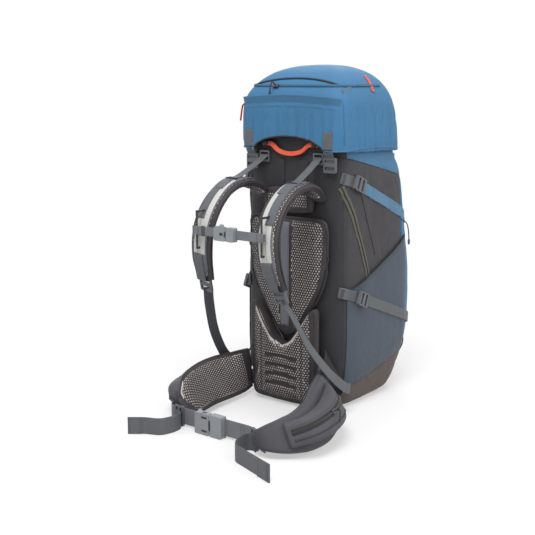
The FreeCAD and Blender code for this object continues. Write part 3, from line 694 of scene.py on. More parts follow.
g, given = geometry_tree("row_along_line", Spacing="Float", Length="Float", Width="Float")
line = g.named("GeometryNodeMeshToCurve", {"Mesh": given["Geometry"]})
walk = g.named("GeometryNodeResampleCurve", {"Curve": line.outputs[0], "Length": given["Spacing"]}, mode="LENGTH")
body = g.named("GeometryNodeMeshUVSphere", {"Segments": 6, "Rings": 4, "Radius": 0.5})
tangent = g.node("GeometryNodeInputTangent")
turned = g.named("FunctionNodeAlignRotationToVector", {"Vector": tangent.outputs[0]}, axis="Z")
size = g.fill("ShaderNodeCombineXYZ", given["Width"], given["Width"], given["Length"])
stand = g.named("GeometryNodeInstanceOnPoints", {
    "Points": walk.outputs[0], "Instance": body.outputs["Mesh"], "Rotation": turned.outputs[0],
    "Scale": size.outputs[0]})
ROW_TREE = end_tree(g, given, stand.outputs[0])

# %% [markdown]
# The back is faced with open spacer mesh: a knitted net with a hole every few
# millimetres over a paler layer. Its cells are the dual of a triangle grid, so the
# tree takes a triangle sheet laid on the pad, turns it into hexagons and opens each
# one with a small wall down to the foam.

# %% Geometry Nodes: the knitted net
g, given = geometry_tree("spacer_net", Opening="Float", Depth="Float")
cells = g.named("GeometryNodeDualMesh", {"Mesh": given["Geometry"]})
rim = g.named("GeometryNodeExtrudeMesh", {"Mesh": cells.outputs[0], "Offset Scale": 0.0, "Individual": True},
              mode="FACES")
shrink = g.named("GeometryNodeScaleElements", {
    "Geometry": rim.outputs["Mesh"], "Selection": rim.outputs["Top"], "Scale": given["Opening"]}, domain="FACE")
wall = g.named("GeometryNodeExtrudeMesh", {
    "Mesh": shrink.outputs[0], "Selection": rim.outputs["Top"], "Offset Scale": given["Depth"],
    "Individual": True}, mode="FACES")
clear = g.named("GeometryNodeDeleteGeometry", {
    "Geometry": wall.outputs["Mesh"], "Selection": wall.outputs["Top"]}, domain="FACE")
NET_TREE = end_tree(g, given, clear.outputs[0])


def grown_by(obj, tree, **values):
    """Runs a tree on an object and keeps the result as its plain mesh."""
    made = obj.modifiers.new("grow", "NODES")
    made.node_group = tree
    for item in tree.interface.items_tree:
        if item.name in values:
            made[item.identifier] = values[item.name]
    obj.update_tag()
    bpy.context.view_layer.update()
    return made_plain(obj)


def sewn(name, lines, stitch, body, slot, finish_name):
    """Stitches or teeth along lines of points in mm; stitch is spacing, length, width."""
    verts = []
    edges = []
    for points in lines:
        start = len(verts)
        verts += (np.array(points, float) * MM).tolist()
        edges += [(start + i, start + i + 1) for i in range(len(points) - 1)]
    spacing, length, width = stitch
    obj = grown_by(add(name, flat_mesh(name, verts, [], edges)), ROW_TREE, Spacing=spacing * MM,
                   Length=length * MM, Width=width * MM, Finish=F[finish_name])
    return keep(obj, body, slot, finish_name)


NET_SPACING = 6.6
NET_OPENING = 0.56
NET_DEPTH = -1.1


def net_over(name, body, sample, wide, tall, keep_if, lift=0.9):
    """A knitted net over a pad. sample(u, v) in mm gives a point and its outward normal."""
    rows = max(3, int(round(tall / (NET_SPACING * math.sqrt(3) / 2))) + 1)
    cols = max(3, int(round(wide / NET_SPACING)) + 1)
    verts = []
    index = {}
    for i in range(rows):
        v = tall * i / (rows - 1)
        for j in range(cols):
            u = wide * (j + 0.5 * (i % 2)) / (cols - 0.5)
            if keep_if(u, v):
                p, n = sample(u, v)
                index[i, j] = len(verts)
                verts.append(np.array(p) + np.array(n) * lift)
    faces = []
    for i in range(rows - 1):
        for j in range(cols - 1):
            a, b, c, d = (i, j), (i, j + 1), (i + 1, j + 1), (i + 1, j)
            for face in ((a, c, d), (a, b, c)) if i % 2 else ((a, b, d), (b, c, d)):
                if all(key in index for key in face):
                    faces.append([index[key] for key in face])
    mesh = flat_mesh(name, np.array(verts) * MM, faces)
    p, n = sample(wide / 2, tall / 2)
    middle = min(mesh.polygons, key=lambda f: (f.center - Vector(p) * MM).length)
    if middle.normal.dot(Vector(n)) < 0:
        mesh.flip_normals()
    obj = grown_by(add(name, mesh), NET_TREE, Opening=NET_OPENING, Depth=NET_DEPTH * MM, Finish=F["net_dark"])
    print("net", name, "cells", len(verts), "faces", len(obj.data.polygons))
    return keep(obj, body, "mesh_fabric", "net_dark")


# %% [markdown]
# The bag body is a lofted shell: rounded-square sections at a few heights, joined by
# a smooth curve. Filled cloth is not a machined surface, so the wall swells between
# its seams, dips at them, and carries slack folds that run into the corners.

# %% The bag's surface
BAG = [(0, 118, -88, 140), (18, 138, -104, 160), (60, 148, -110, 181), (130, 154, -112, 217),
       (210, 155, -112, 226), (310, 154, -112, 221), (446, 150, -112, 197), (530, 147, -112, 176),
       (572, 141, -112, 156), (600, 137, -111, 147), (622, 134, -110, 142)]
BASE_PLANE = (70.0, 0.20)
COLLAR_PLANE = (553.0, -0.24)
REAR_SEAM = -95.0
FRONT_SEAM = 130.0
SEAM_REACH = 7
AROUND = 264


def plane_height(plane, y):
    return plane[0] + plane[1] * y


def share_of(value, reach):
    """Value over reach, held between 0 and 1."""
    return max(0.0, min(1.0, value / reach))


def soft(value, reach=SEAM_REACH):
    """1 at a seam, 0 beyond reach."""
    return max(0.0, 1 - value / reach) ** 2


def seam_dip(p):
    """How far the wall draws in at its seams, mm."""
    dip = 0
    for plane in (BASE_PLANE, COLLAR_PLANE):
        dip += 1.7 * soft(abs(p.z - plane_height(plane, p.y)) / math.hypot(1, plane[1]))
    if plane_height(BASE_PLANE, p.y) < p.z < plane_height(COLLAR_PLANE, p.y):
        dip += 1.7 * soft(abs(p.y - REAR_SEAM)) + 1.4 * soft(abs(p.y - FRONT_SEAM))
    return dip


def waves(p, across, along, up, shift=(0, 0, 0)):
    """Soft noise over the wall; the three lengths in mm set the size of the folds."""
    return noise.noise(Vector((p.x / across + shift[0], p.y / along + shift[1], p.z / up + shift[2])))


def slack(p, size=1.0):
    """Soft folds: broad waves, and finer puckers that run down the wall."""
    crease = abs(waves(p, 34, 34, 70, (0, 3, 5)))
    fold = max(0.0, 0.16 - crease) / 0.16
    return size * (1.6 * waves(p, 90, 90, 130) + 0.9 * waves(p, 26, 26, 95, (7, 0, 0)) - 1.5 * fold * 0.8)


def wall_rows(sections, levels, squareness, place, grow=0.0):
    """Rings of points up a wall; place(point, outwards, angle) gives each its final place."""
    out = []
    for z, hx, y_rear, y_front in spline(sections, levels):
        ring = []
        for i in range(AROUND):
            a = 2 * math.pi * i / AROUND - math.pi / 2
            r = reach_of(a, squareness[0] if math.sin(a) < 0 else squareness[1])
            p = Vector(((hx + grow) * r * math.cos(a),
                        (y_rear + y_front) / 2 + ((y_front - y_rear) / 2 + grow) * r * math.sin(a), z))
            ring.append(place(p, Vector((math.cos(a), math.sin(a), 0)).normalized()))
        out.append(ring)
    return np.array(out)


BAG_SQUARENESS = (6.0, 3.6)
SAMPLE_FACE = 3000
FLAT_BEHIND, FLAT_SHARE = -100, 0.15


def bag_grid(grow=0.0, wave=1.0, dips=True, levels=156):
    """The bag's wall. Behind the back pads it lies on the frame sheet and stays flat."""
    def place(p, n):
        loose = FLAT_SHARE if p.y < FLAT_BEHIND else 1.0
        return p + n * (slack(p, wave) * loose - 0.6 - (seam_dip(p) if dips else 0))
    return wall_rows(BAG, levels, BAG_SQUARENESS, place, grow)


def whole_wall(name, rows, middle=None):
    """A wall's mesh, its faces pointing away from a place in its middle."""
    mesh = grid_mesh(name, rows)
    outward(mesh)
    if middle:
        face = mesh.polygons[SAMPLE_FACE]
        if face.normal.dot(face.center - Vector(middle)) < 0:
            mesh.flip_normals()
    return mesh


def cut_by(mesh, planes):
    """Keeps the part of a mesh on the far side of each plane (place, direction)."""
    bm = bmesh.new()
    bm.from_mesh(mesh)
    for place, way in planes:
        bmesh.ops.bisect_plane(bm, geom=bm.verts[:] + bm.edges[:] + bm.faces[:], plane_co=Vector(place) * MM,
                               plane_no=Vector(way), clear_inner=True, dist=1e-7)
    bm.to_mesh(mesh)
    bm.free()
    mesh.update()


def level_plane(plane, above):
    sign = 1 if above else -1
    return ((0, 0, plane[0]), (0, -plane[1] * sign, sign))


skin = bag_grid()
rim = skin[0]
floor_rows = np.array([rim.mean(axis=0) * (1 - k) + rim * k for k in (0.02, 0.35, 0.7, 0.92)])
floor_rows[:, :, 2] = 0.6
bag_mesh = whole_wall("bag_whole", np.concatenate([floor_rows, skin]))
bag_tree = surface(bag_mesh)

WALL = [level_plane(BASE_PLANE, True), level_plane(COLLAR_PLANE, False)]
SIDE_WALL = WALL + [((0, REAR_SEAM, 0), (0, 1, 0)), ((0, FRONT_SEAM, 0), (0, -1, 0))]
PANELS = {
    "base_cloth": ([level_plane(BASE_PLANE, False)], "base_brown", "brown_fabric", "base_panel"),
    "collar_cloth": ([level_plane(COLLAR_PLANE, True)], ["collar_blue", "back_grey"], "light_blue_fabric", "collar"),
    "rear_cloth": (WALL + [((0, REAR_SEAM, 0), (0, -1, 0))], "back_grey", "grey_fabric", "rear_panel"),
    "front_cloth": (WALL + [((0, FRONT_SEAM, 0), (0, 1, 0))], "front_blue", "blue_fabric", "front_panel"),
    "side_cloth_right": (SIDE_WALL + [((0, 0, 0), (1, 0, 0))], "side_grey", "grey_fabric", "side_panel_right"),
    "side_cloth_left": (SIDE_WALL + [((0, 0, 0), (-1, 0, 0))], "side_grey", "grey_fabric", "side_panel_left"),
}
for name, (planes, cloth, slot_name, node) in PANELS.items():
    mesh = bag_mesh.copy()
    cut_by(mesh, planes)
    panel = hollow(add(name, mesh), 1.8)
    if node == "collar":
        two_tone(panel, lambda p, n: p.y < -88)
    keep(panel, "pack", slot_name, cloth, node)
    print(name, len(mesh.polygons))

# %% [markdown]
# Seams are rows of stitches laid on the wall. A line is walked with rays from
# outside the bag, so it always lies on the cloth, folds included.


# %% Seam lines on the bag
OUTSIDE = 420
SIDE_WALL_X = 84
STITCH = (3.4, 2.5, 0.7)


def side_line(ends, lift, count, side=1, tree=bag_tree):
    """A line seen straight in the side view, laid on the wall and walked evenly."""
    y0, z0, y1, z1 = ends
    found = []
    for k in np.linspace(0, 1, count * 4):
        hit = ray(tree, (side * OUTSIDE, y0 + (y1 - y0) * k, z0 + (z1 - z0) * k), (-side, 0, 0), lift)
        if hit and abs(hit[0].x) > SIDE_WALL_X:
            found.append((*hit[0], *hit[1]))
    return spline(found[::6] + [found[-1]], count)


def level_line(plane, lift, count=240):
    """The bag's outline where a sloping level plane meets its wall."""
    found = []
    for k in range(count):
        a = 2 * math.pi * k / count
        way = Vector((math.cos(a), math.sin(a), 0))
        start = way * 400 + Vector((0, 40, 0))
        z = plane_height(plane, 40)
        for _ in range(3):
            hit = ray(bag_tree, (start.x, start.y, z), -way, lift)
            z = plane_height(plane, hit[0].y)
        found.append((hit[0].x, hit[0].y, z))
    return np.array(found)


def upright_line(y, z0, z1, side, lift=0.35, count=80):
    """A line up the wall at one depth, on one side."""
    hits = [ray(bag_tree, (side * OUTSIDE, y, z), (-side, 0, 0), lift) for z in np.linspace(z0, z1, count)]
    return np.array([tuple(hit[0]) for hit in hits if hit])


seams = []
for side, word in SIDES:
    seams += [upright_line(REAR_SEAM + shift, 55, 572, side) for shift in (-3, 4)]
    seams += [upright_line(FRONT_SEAM + shift, 100, 518, side) for shift in (-4, 4)]
base_seam = level_line((BASE_PLANE[0] + 4, BASE_PLANE[1]), 0.35)
seams.append(np.vstack([base_seam, base_seam[:1]]))
sewn("bag_stitches", seams, STITCH, "pack", "grey_fabric", "thread_dark")
cord("collar_piping", level_line(COLLAR_PLANE, -0.6), 1.5, "pack", "light_blue_fabric", "binding_dark")
print("seam lines", len(seams))

# %% [markdown]
# The side pockets are stretch cloth: slanted at the top with a bound edge, gathered
# along the bottom. They are skins a few millimetres off the bag, pressed down to it
# at their sewn sides.


# %% Side pockets
POCKET_TOP = (317.0, 0.418)
POCKET_BACK, POCKET_FRONT = -92, 150
HEM_TALL = 12.96
BAG_MIDDLE = (0, 0.05, 0.1)


def pocket_place(p, n):
    """The bag's wall again, standing off it where the pocket cloth is loose."""
    above_base = p.z - plane_height(BASE_PLANE, p.y)
    near_side = share_of(min(p.y - POCKET_BACK, POCKET_FRONT - p.y), 18)
    lift = 0.6 + 2.9 * near_side * share_of(above_base, 26) ** 0.5
    if plane_height(POCKET_TOP, p.y) - p.z < HEM_TALL:
        lift += 0.5
    pucker = waves(p, 16, 15, 80) * 2.2 * max(0.0, 1 - above_base / 95)
    pucker += noise.noise(Vector((p.x / 40, (p.y + p.z * 0.4) / 55, p.z / 60 + 9))) * 1.5
    return p + n * (lift + pucker * near_side * 0.8 + slack(p, 0.5))


def slanted(y0, y1, drop=0):
    """The ends of a line along the pocket's slanted top."""
    return y0, plane_height(POCKET_TOP, y0) - drop, y1, plane_height(POCKET_TOP, y1) - drop


pocket_mesh = whole_wall("pocket_whole", wall_rows(BAG, 130, BAG_SQUARENESS, pocket_place), BAG_MIDDLE)
pocket_tree = surface(pocket_mesh)
for side, word in SIDES:
    mesh = pocket_mesh.copy()
    cut_by(mesh, [level_plane((72.0, 0.20), True), level_plane(POCKET_TOP, False),
                  ((0, -91, 0), (0, 1, 0)), ((0, 148, 0), (0, -1, 0)), ((side * 60, 0, 0), (side, 0, 0))])
    pocket = hollow(add("side_pocket_cloth_" + word, mesh), 0.8)
    keep(pocket, "pack", "stretch_fabric", "slate_stretch", "side_pocket_" + word)
    hem = side_line(slanted(-90, 147), 0.3, 70, side, pocket_tree)[:, :3]
    cord("pocket_hem_" + word, hem, 1.6, "pack", "stretch_fabric", "binding_dark")
    row = side_line(slanted(-88, 145, 9), 0.3, 70, side, pocket_tree)[:, :3]
    sewn("pocket_stitches_" + word, [row], (3.2, 2.3, 0.6), "pack", "stretch_fabric", "thread_dark")
print("side pockets", len(pocket_mesh.polygons))

# %% [markdown]
# The front pocket is a flat patch with round corners, cut out of a slightly larger
# bag wall by planes round its edge, with binding, stitches and a zip laid on it.

# %% Front pocket
HALF, LOW, HIGH, CORNER = 84.0, 170.0, 430.0, 30.0
planes = [((HALF, 0, 0), (-1, 0, 0)), ((-HALF, 0, 0), (1, 0, 0)), ((0, 0, LOW), (0, 0, 1)),
          ((0, 0, HIGH), (0, 0, -1)), ((0, 120, 0), (0, 1, 0))]
patch_edge = []
for k in range(49):
    a = 2 * math.pi * (k + 0.5) / 48
    across, up = math.cos(a), math.sin(a)
    x = math.copysign(HALF - CORNER, across) + CORNER * across
    z = (LOW + HIGH) / 2 + math.copysign((HIGH - LOW) / 2 - CORNER, up) + CORNER * up
    patch_edge.append((x, z, 0))
    if k < 48:
        planes.append(((x, 0, z), (-across, 0, -up)))
patch_mesh = whole_wall("front_patch", bag_grid(2.6, 1.3, False, 150), BAG_MIDDLE)
cut_by(patch_mesh, planes)
keep(hollow(add("front_pocket_cloth", patch_mesh), 1.6), "pack", "blue_fabric", "front_blue", "front_pocket")


def front_spot(x, z, lift=0.0):
    return tuple(ray(bag_tree, (x, OUTSIDE, z), (0, -1, 0), lift)[0])


edge_line = [front_spot(x, z, 2.4) for x, z, flat in spline(patch_edge, 150)]
cord("front_pocket_binding", edge_line, 1.5, "pack", "blue_fabric", "binding_dark")
inner_line = [front_spot(x * 0.92, 300 + (z - 300) * 0.95, 3.6) for x, z, flat in patch_edge]
sewn("front_pocket_stitches", [inner_line], (3.4, 2.4, 0.7), "pack", "blue_fabric", "thread_blue")
zip_line = [front_spot(x, 398, 3.4) for x in np.linspace(-70, 70, 60)]
strap("front_pocket_zip", zip_line, (0, 0.1, 1), 12, 1.2, "pack", "blue_fabric", "tape_black")
teeth = [(x, y + 0.9, z) for x, y, z in zip_line]
sewn("front_zip_teeth", [teeth], (1.9, 1.3, 3.2), "pack", "blue_fabric", "thread_dark")
print("front pocket", len(patch_mesh.polygons))

# %% [markdown]
# Compression straps hold the load in. The upper pair is grey webbing into a ladder
# buckle and then pale blue towards the front. The lower pair crosses the pockets.

# %% Compression straps and the side zips
UPPER = (-100, 532, 200, 403)
LOWER = (-104, 276, 196, 162)
BAR_TACK = (1.1, 1.4, 1.0)
TACK_SHIFTS = (-2.5, 0, 2.5)


def line_sides(found):
    """Directions across a strap that lies on the wall: along the wall, square to it."""
    return np.cross(found[:, 3:6], unit(np.gradient(found[:, :3], axis=0)))


def tacks(line, at):
    """Three short bars of stitches across a strap, near one of its ends."""
    i = int(at * (len(line) - 1))
    across = line_sides(line)[i]
    run = line[min(i + 1, len(line) - 1), :3] - line[max(i - 1, 0), :3]
    run /= np.linalg.norm(run)
    middles = [line[i, :3] + line[i, 3:6] * 1.3 + run * shift for shift in TACK_SHIFTS]
    return [[middle + across * w for w in np.linspace(-10, 10, 12)] for middle in middles]


for side, word in SIDES:
    upper = side_line(UPPER, 1.4, 110, side)
    over = line_sides(upper)
    cut = int(len(upper) * 0.15)
    grey = strap("upper_strap_rear_" + word, upper[:cut + 3, :3], over[:cut + 3], WIDE, 1.8,
                 "pack", "grey_webbing", "web_grey")
    strap("upper_strap_" + word, upper[cut:, :3], over[cut:], WIDE, 1.8, "pack", "blue_webbing", "web_blue")
    lower = side_line(LOWER, 1.6, 110, side, pocket_tree)
    strap("lower_strap_" + word, lower[:, :3], line_sides(lower), WIDE, 1.8, "pack", "grey_webbing", "web_grey")
    bars = tacks(upper, 0.02) + tacks(upper, 0.97) + tacks(lower, 0.03) + tacks(lower, 0.97)
    sewn("bar_tacks_" + word, bars, BAR_TACK, "pack", "grey_webbing", "thread_dark")
    zipped = side_line((-100, 512, -14, 274), 0.9, 90, side)
    tape = strap("side_zip_tape_" + word, zipped[:, :3], line_sides(zipped), 15, 1.2,
                 "pack", "olive_zip", "tape_olive")
    sewn("side_zip_coil_" + word, [zipped[:, :3] + zipped[:, 3:6] * 0.9], (1.8, 1.3, 3.6),
         "pack", "olive_zip", "tape_black")
    second = side_line((-70, 540, 2, 352), 0.4, 70, side)
    cord("side_seam_" + word, second[:, :3], 1.1, "pack", "grey_fabric", "binding_dark")
    if side > 0:
        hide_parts("compression_straps")
    else:
        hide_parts("side_zips")
print("straps", len(upper), "points each")

# %% [markdown]
# The lid is a soft cap with a zipped pocket: a taut crown, a seam that arches over
# the back, a sewn band below it, and a loose hem that the straps pull down. A wide
# arch in the rear hem leaves room for a hand on the haul loop.


# %% The lid's surface
LID = [(576, 147, -129, 158), (600, 148, -130, 157), (647, 147, -130, 151), (700, 142, -127, 134),
       (735, 124, -104, 114), (760, 94, -76, 90), (774, 56, -36, 58), (777.5, 24, -8, 30), (778, 6, 8, 16)]
HEM = (585.44, -0.0351)
ARCH = (96.0, 34.0, 586.0)
ARCH_CUTS = 15
FAR = 400


def rear_seam_height(x):
    """The arched seam over the back of the lid."""
    return 746.5 - 16.5 * (abs(x) / 122) ** 2.2


def lid_slack(p):
    """Loose folds that fall from the crown's corners and gather at the hem."""
    fold = waves(p, 26, 26, 190, (0, 0, 2)) * 3.0 * share_of(735 - p.z, 90)
    fold += waves(p, 9, 9, 210, (0, 0, 5)) * 6.5 * share_of(690 - p.z, 30)
    if p.y < -110:
        fold *= 0.85
    sag = math.exp(-((p.z - 762) / 16) ** 2) * (0.5 + 0.5 * noise.noise(Vector((p.x / 60, p.y / 60, 3))))
    return fold * 0.8 + waves(p, 80, 80, 80, (0, 8, 0)) * 1.1 - sag * 1.5 - 0.4


def pulled_up(x, y):
    """How far the hem rises at the two sides, 0 to 1."""
    return share_of(abs(x) - 90, 30) * max(0.0, math.sin(math.pi * (y + 130) / 285))


def lid_place(p, n):
    level = share_of(p.z - 700, 78)
    n = (n * (1 - level) + Vector((0, 0, level + 0.02))).normalized()
    seam = 1.5 * soft(abs(rear_seam_height(p.x) - p.z), 6) if p.y < -60 else 0.0
    lift = max(0.0, (650 - p.z) / 70) * 9 * pulled_up(p.x, p.y)
    return p + n * (lid_slack(p) - seam) + Vector((0, 0, lift))


def arch_point(a):
    return ARCH[0] * math.cos(a), ARCH[2] + ARCH[1] * math.sin(a)


def cut_arch(mesh):
    """Cuts the wide arch out of the rear hem."""
    bm = bmesh.new()
    bm.from_mesh(mesh)
    for k in range(ARCH_CUTS):
        a = math.pi * (k + 0.5) / ARCH_CUTS
        x, z = arch_point(a)
        way = Vector((math.cos(a) / ARCH[0], 0, math.sin(a) / ARCH[1])).normalized()
        near = [f for f in bm.faces if f.calc_center_median().y < -0.10 and f.calc_center_median().z < 0.64]
        geometry = list({v for f in near for v in f.verts}) + list({e for f in near for e in f.edges}) + near
        bmesh.ops.bisect_plane(bm, geom=geometry, plane_co=Vector((x, 0, z)) * MM, plane_no=way, dist=1e-7)
    gone = []
    for f in bm.faces:
        x, y, z = f.calc_center_median() / MM
        if y < -100 and (x / ARCH[0]) ** 2 + ((z - ARCH[2]) / ARCH[1]) ** 2 < 1:
            gone.append(f)
    bmesh.ops.delete(bm, geom=gone, context="FACES")
    bm.to_mesh(mesh)
    bm.free()


lid_rows = wall_rows(LID, 110, (8.0, 4.0), lid_place)
crown = lid_rows[-1].mean(axis=0)
lid_mesh = whole_wall("lid_whole", np.concatenate([lid_rows, [crown + (lid_rows[-1] - crown) * 0.04]]), (0, 0, 0.65))
lid_tree = surface(lid_mesh)
cut_by(lid_mesh, [level_plane(HEM, True)])
cut_arch(lid_mesh)
keep(hollow(add("lid_cloth", lid_mesh), 2.2), "lid", "blue_fabric", "lid_blue", "lid_shell")


def lid_spot(p, way, lift=0.0):
    """A place on the lid and its normal, as one row."""
    hit = ray(lid_tree, p, way, lift)
    return np.array((*hit[0], *hit[1]))


def lid_rear(x, z, lift=0.0):
    return lid_spot((x, -FAR, z), (0, 1, 0), lift)[:3]


def lid_right(places, lift):
    return [lid_spot((FAR, y, z), (-1, 0, 0), lift)[:3] for y, z in places]


def lid_ring(z, lift, count=200, slope=0.0):
    """The lid's outline at one height."""
    found = []
    for k in range(count + 1):
        way = Vector((math.cos(2 * math.pi * k / count), math.sin(2 * math.pi * k / count), 0))
        start = Vector((way.x * FAR, 14 + way.y * FAR, z + slope * (14 + way.y * 150)))
        found.append(lid_spot(start, -way, lift))
    return np.array(found)


print("lid faces", len(lid_mesh.polygons))

# %% [markdown]
# Trims of the lid: piping on the arched seam, bound hem and arch, the wide sewn band
# over the back, and corner seams.

# %% Seams, band, hem and trims of the lid
arch_line = [lid_rear(x, rear_seam_height(x), 0.2) for x in np.linspace(-121, 121, 70)]
cord("lid_rear_piping", arch_line, 2.6, "lid", "black_zip", "binding_dark")


def in_arch(p):
    return abs(p[0]) < 98 and p[1] < -100


hem_line = lid_ring(HEM[0] + 1.2, 0.0, slope=HEM[1])
start = next(i for i, p in enumerate(hem_line) if in_arch(p))
hem_line = np.array([p for p in np.roll(hem_line[:-1], -start, axis=0) if not in_arch(p)])
for p in hem_line:
    p[2] += 8.2 * pulled_up(p[0], p[1])
cord("lid_hem_binding", hem_line[:, :3], 1.9, "lid", "blue_fabric", "front_blue")
rim = [arch_point(math.pi * k / 40) for k in range(41)]
cord("lid_arch_binding", [lid_rear(x, max(z, 591), -0.6) for x, z in rim], 2.0, "lid", "grey_fabric", "binding_dark")


def band_line(z, count, half, lift):
    return np.array([lid_rear(x, z - 4e-4 * x * x, lift) for x in np.linspace(-half, half, count)])


lines = [[p[:3] + p[3:6] * 0.3 + np.array([0, 0, 9]) for p in hem_line]]
lines += [band_line(711.0, 90, 126, 0.5), band_line(686.0, 90, 126, 0.5)]
strap("lid_rear_band", band_line(698.5, 80, 131, 1.0), (0, -0.25, 1), 27, 1.8, "lid", "blue_fabric", "front_blue")
sewn("lid_stitches", lines, STITCH, "lid", "blue_fabric", "thread_blue")
for side, word in SIDES:
    row = [lid_spot((side * FAR, -112, z), (-side, 0, 0), 0.4)[:3] for z in np.linspace(606, 702, 40)]
    cord("lid_corner_seam_" + word, row, 1.2, "lid", "blue_fabric", "front_blue")

# %% [markdown]
# The rear zip runs under the arched seam; its tape and coil follow the lid round.
# Small tapes hang at its ends.

# %% Zip and tapes of the lid
zip_way = np.array([p for p in lid_ring(728.0, 0.8, count=220) if p[1] < 46])
zip_way = zip_way[np.argsort(np.arctan2(zip_way[:, 0], -(zip_way[:, 1] - 50)))]
strap("lid_zip_tape", zip_way[:, :3], (0, 0, 1), 11, 1.2, "lid", "black_zip", "front_blue", "lid_zip")
sewn("lid_zip_coil", [zip_way[:, :3] + zip_way[:, 3:6] * 0.9], (1.9, 1.3, 2.4), "lid", "black_zip", "thread_dark")
pull_tape = lid_right(((17, 752), (14, 742), (11, 732), (8, 722), (8, 716)), 1.6)
strap("lid_side_pull_tape", spline(pull_tape, 16), (0, 1, 0.1), 8, 1.6, "lid", "orange_cord", "web_orange")
tab = lid_right(((-103, 716), (-96, 719), (-86, 722), (-76, 722)), 1.4)
strap("lid_corner_tab", spline(tab, 12), (0, 0, 1), 11, 1.8, "lid", "blue_webbing", "web_blue")
left_tape = [(-140.5, -108, 690), (-144.5, -110, 684), (-146.5, -112, 668), (-147.5, -114, 650)]
strap("lid_left_pull_tape", spline(left_tape, 16), (0, 1, 0.1), 5, 1.8, "lid", "orange_cord", "web_orange")
print("lid zip points", len(zip_way))

# %% [markdown]
# Two straps hold the lid down at the back and two at the front. Each has a part on
# the lid and a part on the bag, which meet at a buckle, so the lid can swing.

# %% Straps of the lid
REAR_STRAP_X, FRONT_STRAP_X = 108, 66
for side, word in SIDES:
    x = side * REAR_STRAP_X
    spots = [lid_rear(x, z, 1.5) for z in np.linspace(632, 594, 8)]
    strap("lid_rear_strap_" + word, spline(spots, 20), (1, 0, 0), WIDE, 2.2, "lid", "grey_webbing", "web_grey")
    low_part = [(x, y, z) for y, z in ((-127.4, 588.4), (-125.0, 583), (-120.2, 576), (-117.4, 566), (-116.9, 552),
                                       (-113.6, 544))]
    link = strap("lid_anchor_" + word, spline(low_part, 24), (1, 0, 0), WIDE, 1.7, "pack", "grey_webbing", "web_grey")
    x = side * FRONT_STRAP_X
    wall = [(x, front_spot(x, z, 1.4)[1], z) for z in np.linspace(434, 538, 16)]
    strap("front_anchor_" + word, spline(wall, 26), (1, 0, 0), WIDE, 1.8, "pack", "blue_webbing", "web_blue")
    if side > 0:
        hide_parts("lid_anchor_webbings")
lo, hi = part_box("front_plugs")
plug_y = (lo.y + hi.y) / 2 / MM
for side, word in SIDES:
    x = side * FRONT_STRAP_X
    top, near_hem = [lid_spot((x, FAR, z), (0, -1, 0), lift)[:3] for z, lift in ((618, 1.2), (592, 1.4))]
    path = [top, near_hem, (x, (near_hem[1] + plug_y) / 2 + 2, 579), (x, plug_y, 566)]
    lead = strap("lid_front_strap_" + word, spline(path, 22), (1, 0, 0), WIDE, 1.8, "lid", "blue_webbing", "web_blue")
    if side > 0:
        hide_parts("lid_straps")
print("plugs at y", round(plug_y, 1))

# %% [markdown]
# The back padding is foam under spacer mesh. Each pad starts as an outline in the
# plane of the back, is drawn in at its edge, and is then let swell like a filled
# cushion. Channels are pressed in afterwards and the net goes over the top.


# %% Flat cushions of the back
def outline_loop(half, count):
    """A closed smooth outline from its right half, evenly walked, in x and z."""
    left = half[1:-1] if half[-1][0] == 0 else half[1:]
    points = [(x, z, 0) for x, z in half] + [(-x, z, 0) for x, z in reversed(left)]
    return spline(points + points[:1], count + 1)[:-1, :2]


def shrunk(loop, margin):
    """An outline drawn in by a margin on every side."""
    centre = loop.mean(axis=0)
    return centre + (loop - centre) * (1 - margin / np.abs(loop - centre).max(axis=0))


def cushion(name, loop, y_back, y_face, edge, rings, crown):
    """Rings from the back edge round the side to the middle of the face."""
    depth = y_back - y_face
    centre = loop.mean(axis=0)
    flats = [(loop, y_back)]
    for k in range(7):
        a = math.pi / 2 * k / 6
        y = y_back - depth * (1 - edge / depth) - edge * math.sin(a)
        flats.append((shrunk(loop, edge * (1 - math.cos(a))), y))
    for k in range(1, rings + 1):
        share = (1 - k / rings) ** 0.9
        flats.append((centre + (shrunk(loop, edge) - centre) * share, y_face - crown * (1 - share ** 2)))
    return closed_piece(name, [np.column_stack([xz[:, 0], np.full(len(loop), y), xz[:, 1]]) for xz, y in flats])


def inside(loop, x, z, margin):
    """Whether a place in the back plane is inside an outline by a margin."""
    a = shrunk(loop, margin)
    b = np.roll(a, -1, axis=0)
    meets = (b[:, 0] - a[:, 0]) * (z - a[:, 1]) / (b[:, 1] - a[:, 1] + 1e-12) + a[:, 0]
    return bool((((a[:, 1] > z) != (b[:, 1] > z)) & (x < meets)).sum() % 2)


def back_hit(tree, x, z, lift=0.0):
    return ray(tree, (x, -FAR, z), (0, 1, 0), lift)


def back_net(name, body, tree, x0, z0, wide, tall, keep_if):
    """A net over a pad of the back; keep_if(x, z) says where."""
    def sample(u, v):
        return back_hit(tree, x0 + u, z0 + v) or ((x0 + u, -130, z0 + v), (0, -1, 0))
    return net_over(name, body, sample, wide, tall, lambda u, v: keep_if(x0 + u, z0 + v))


def pad_piping(name, loop, tree, share, lift, y_else, radius):
    points = []
    centre = loop.mean(axis=0)
    for x, z in np.vstack([loop, loop[:1]]):
        q = centre + (np.array([x, z]) - centre) * share
        hit = back_hit(tree, q[0], q[1], lift)
        points.append(tuple(hit[0]) if hit else (x, y_else, z))
    cord(name, points, radius, "pack", "mesh_fabric", "binding_dark")


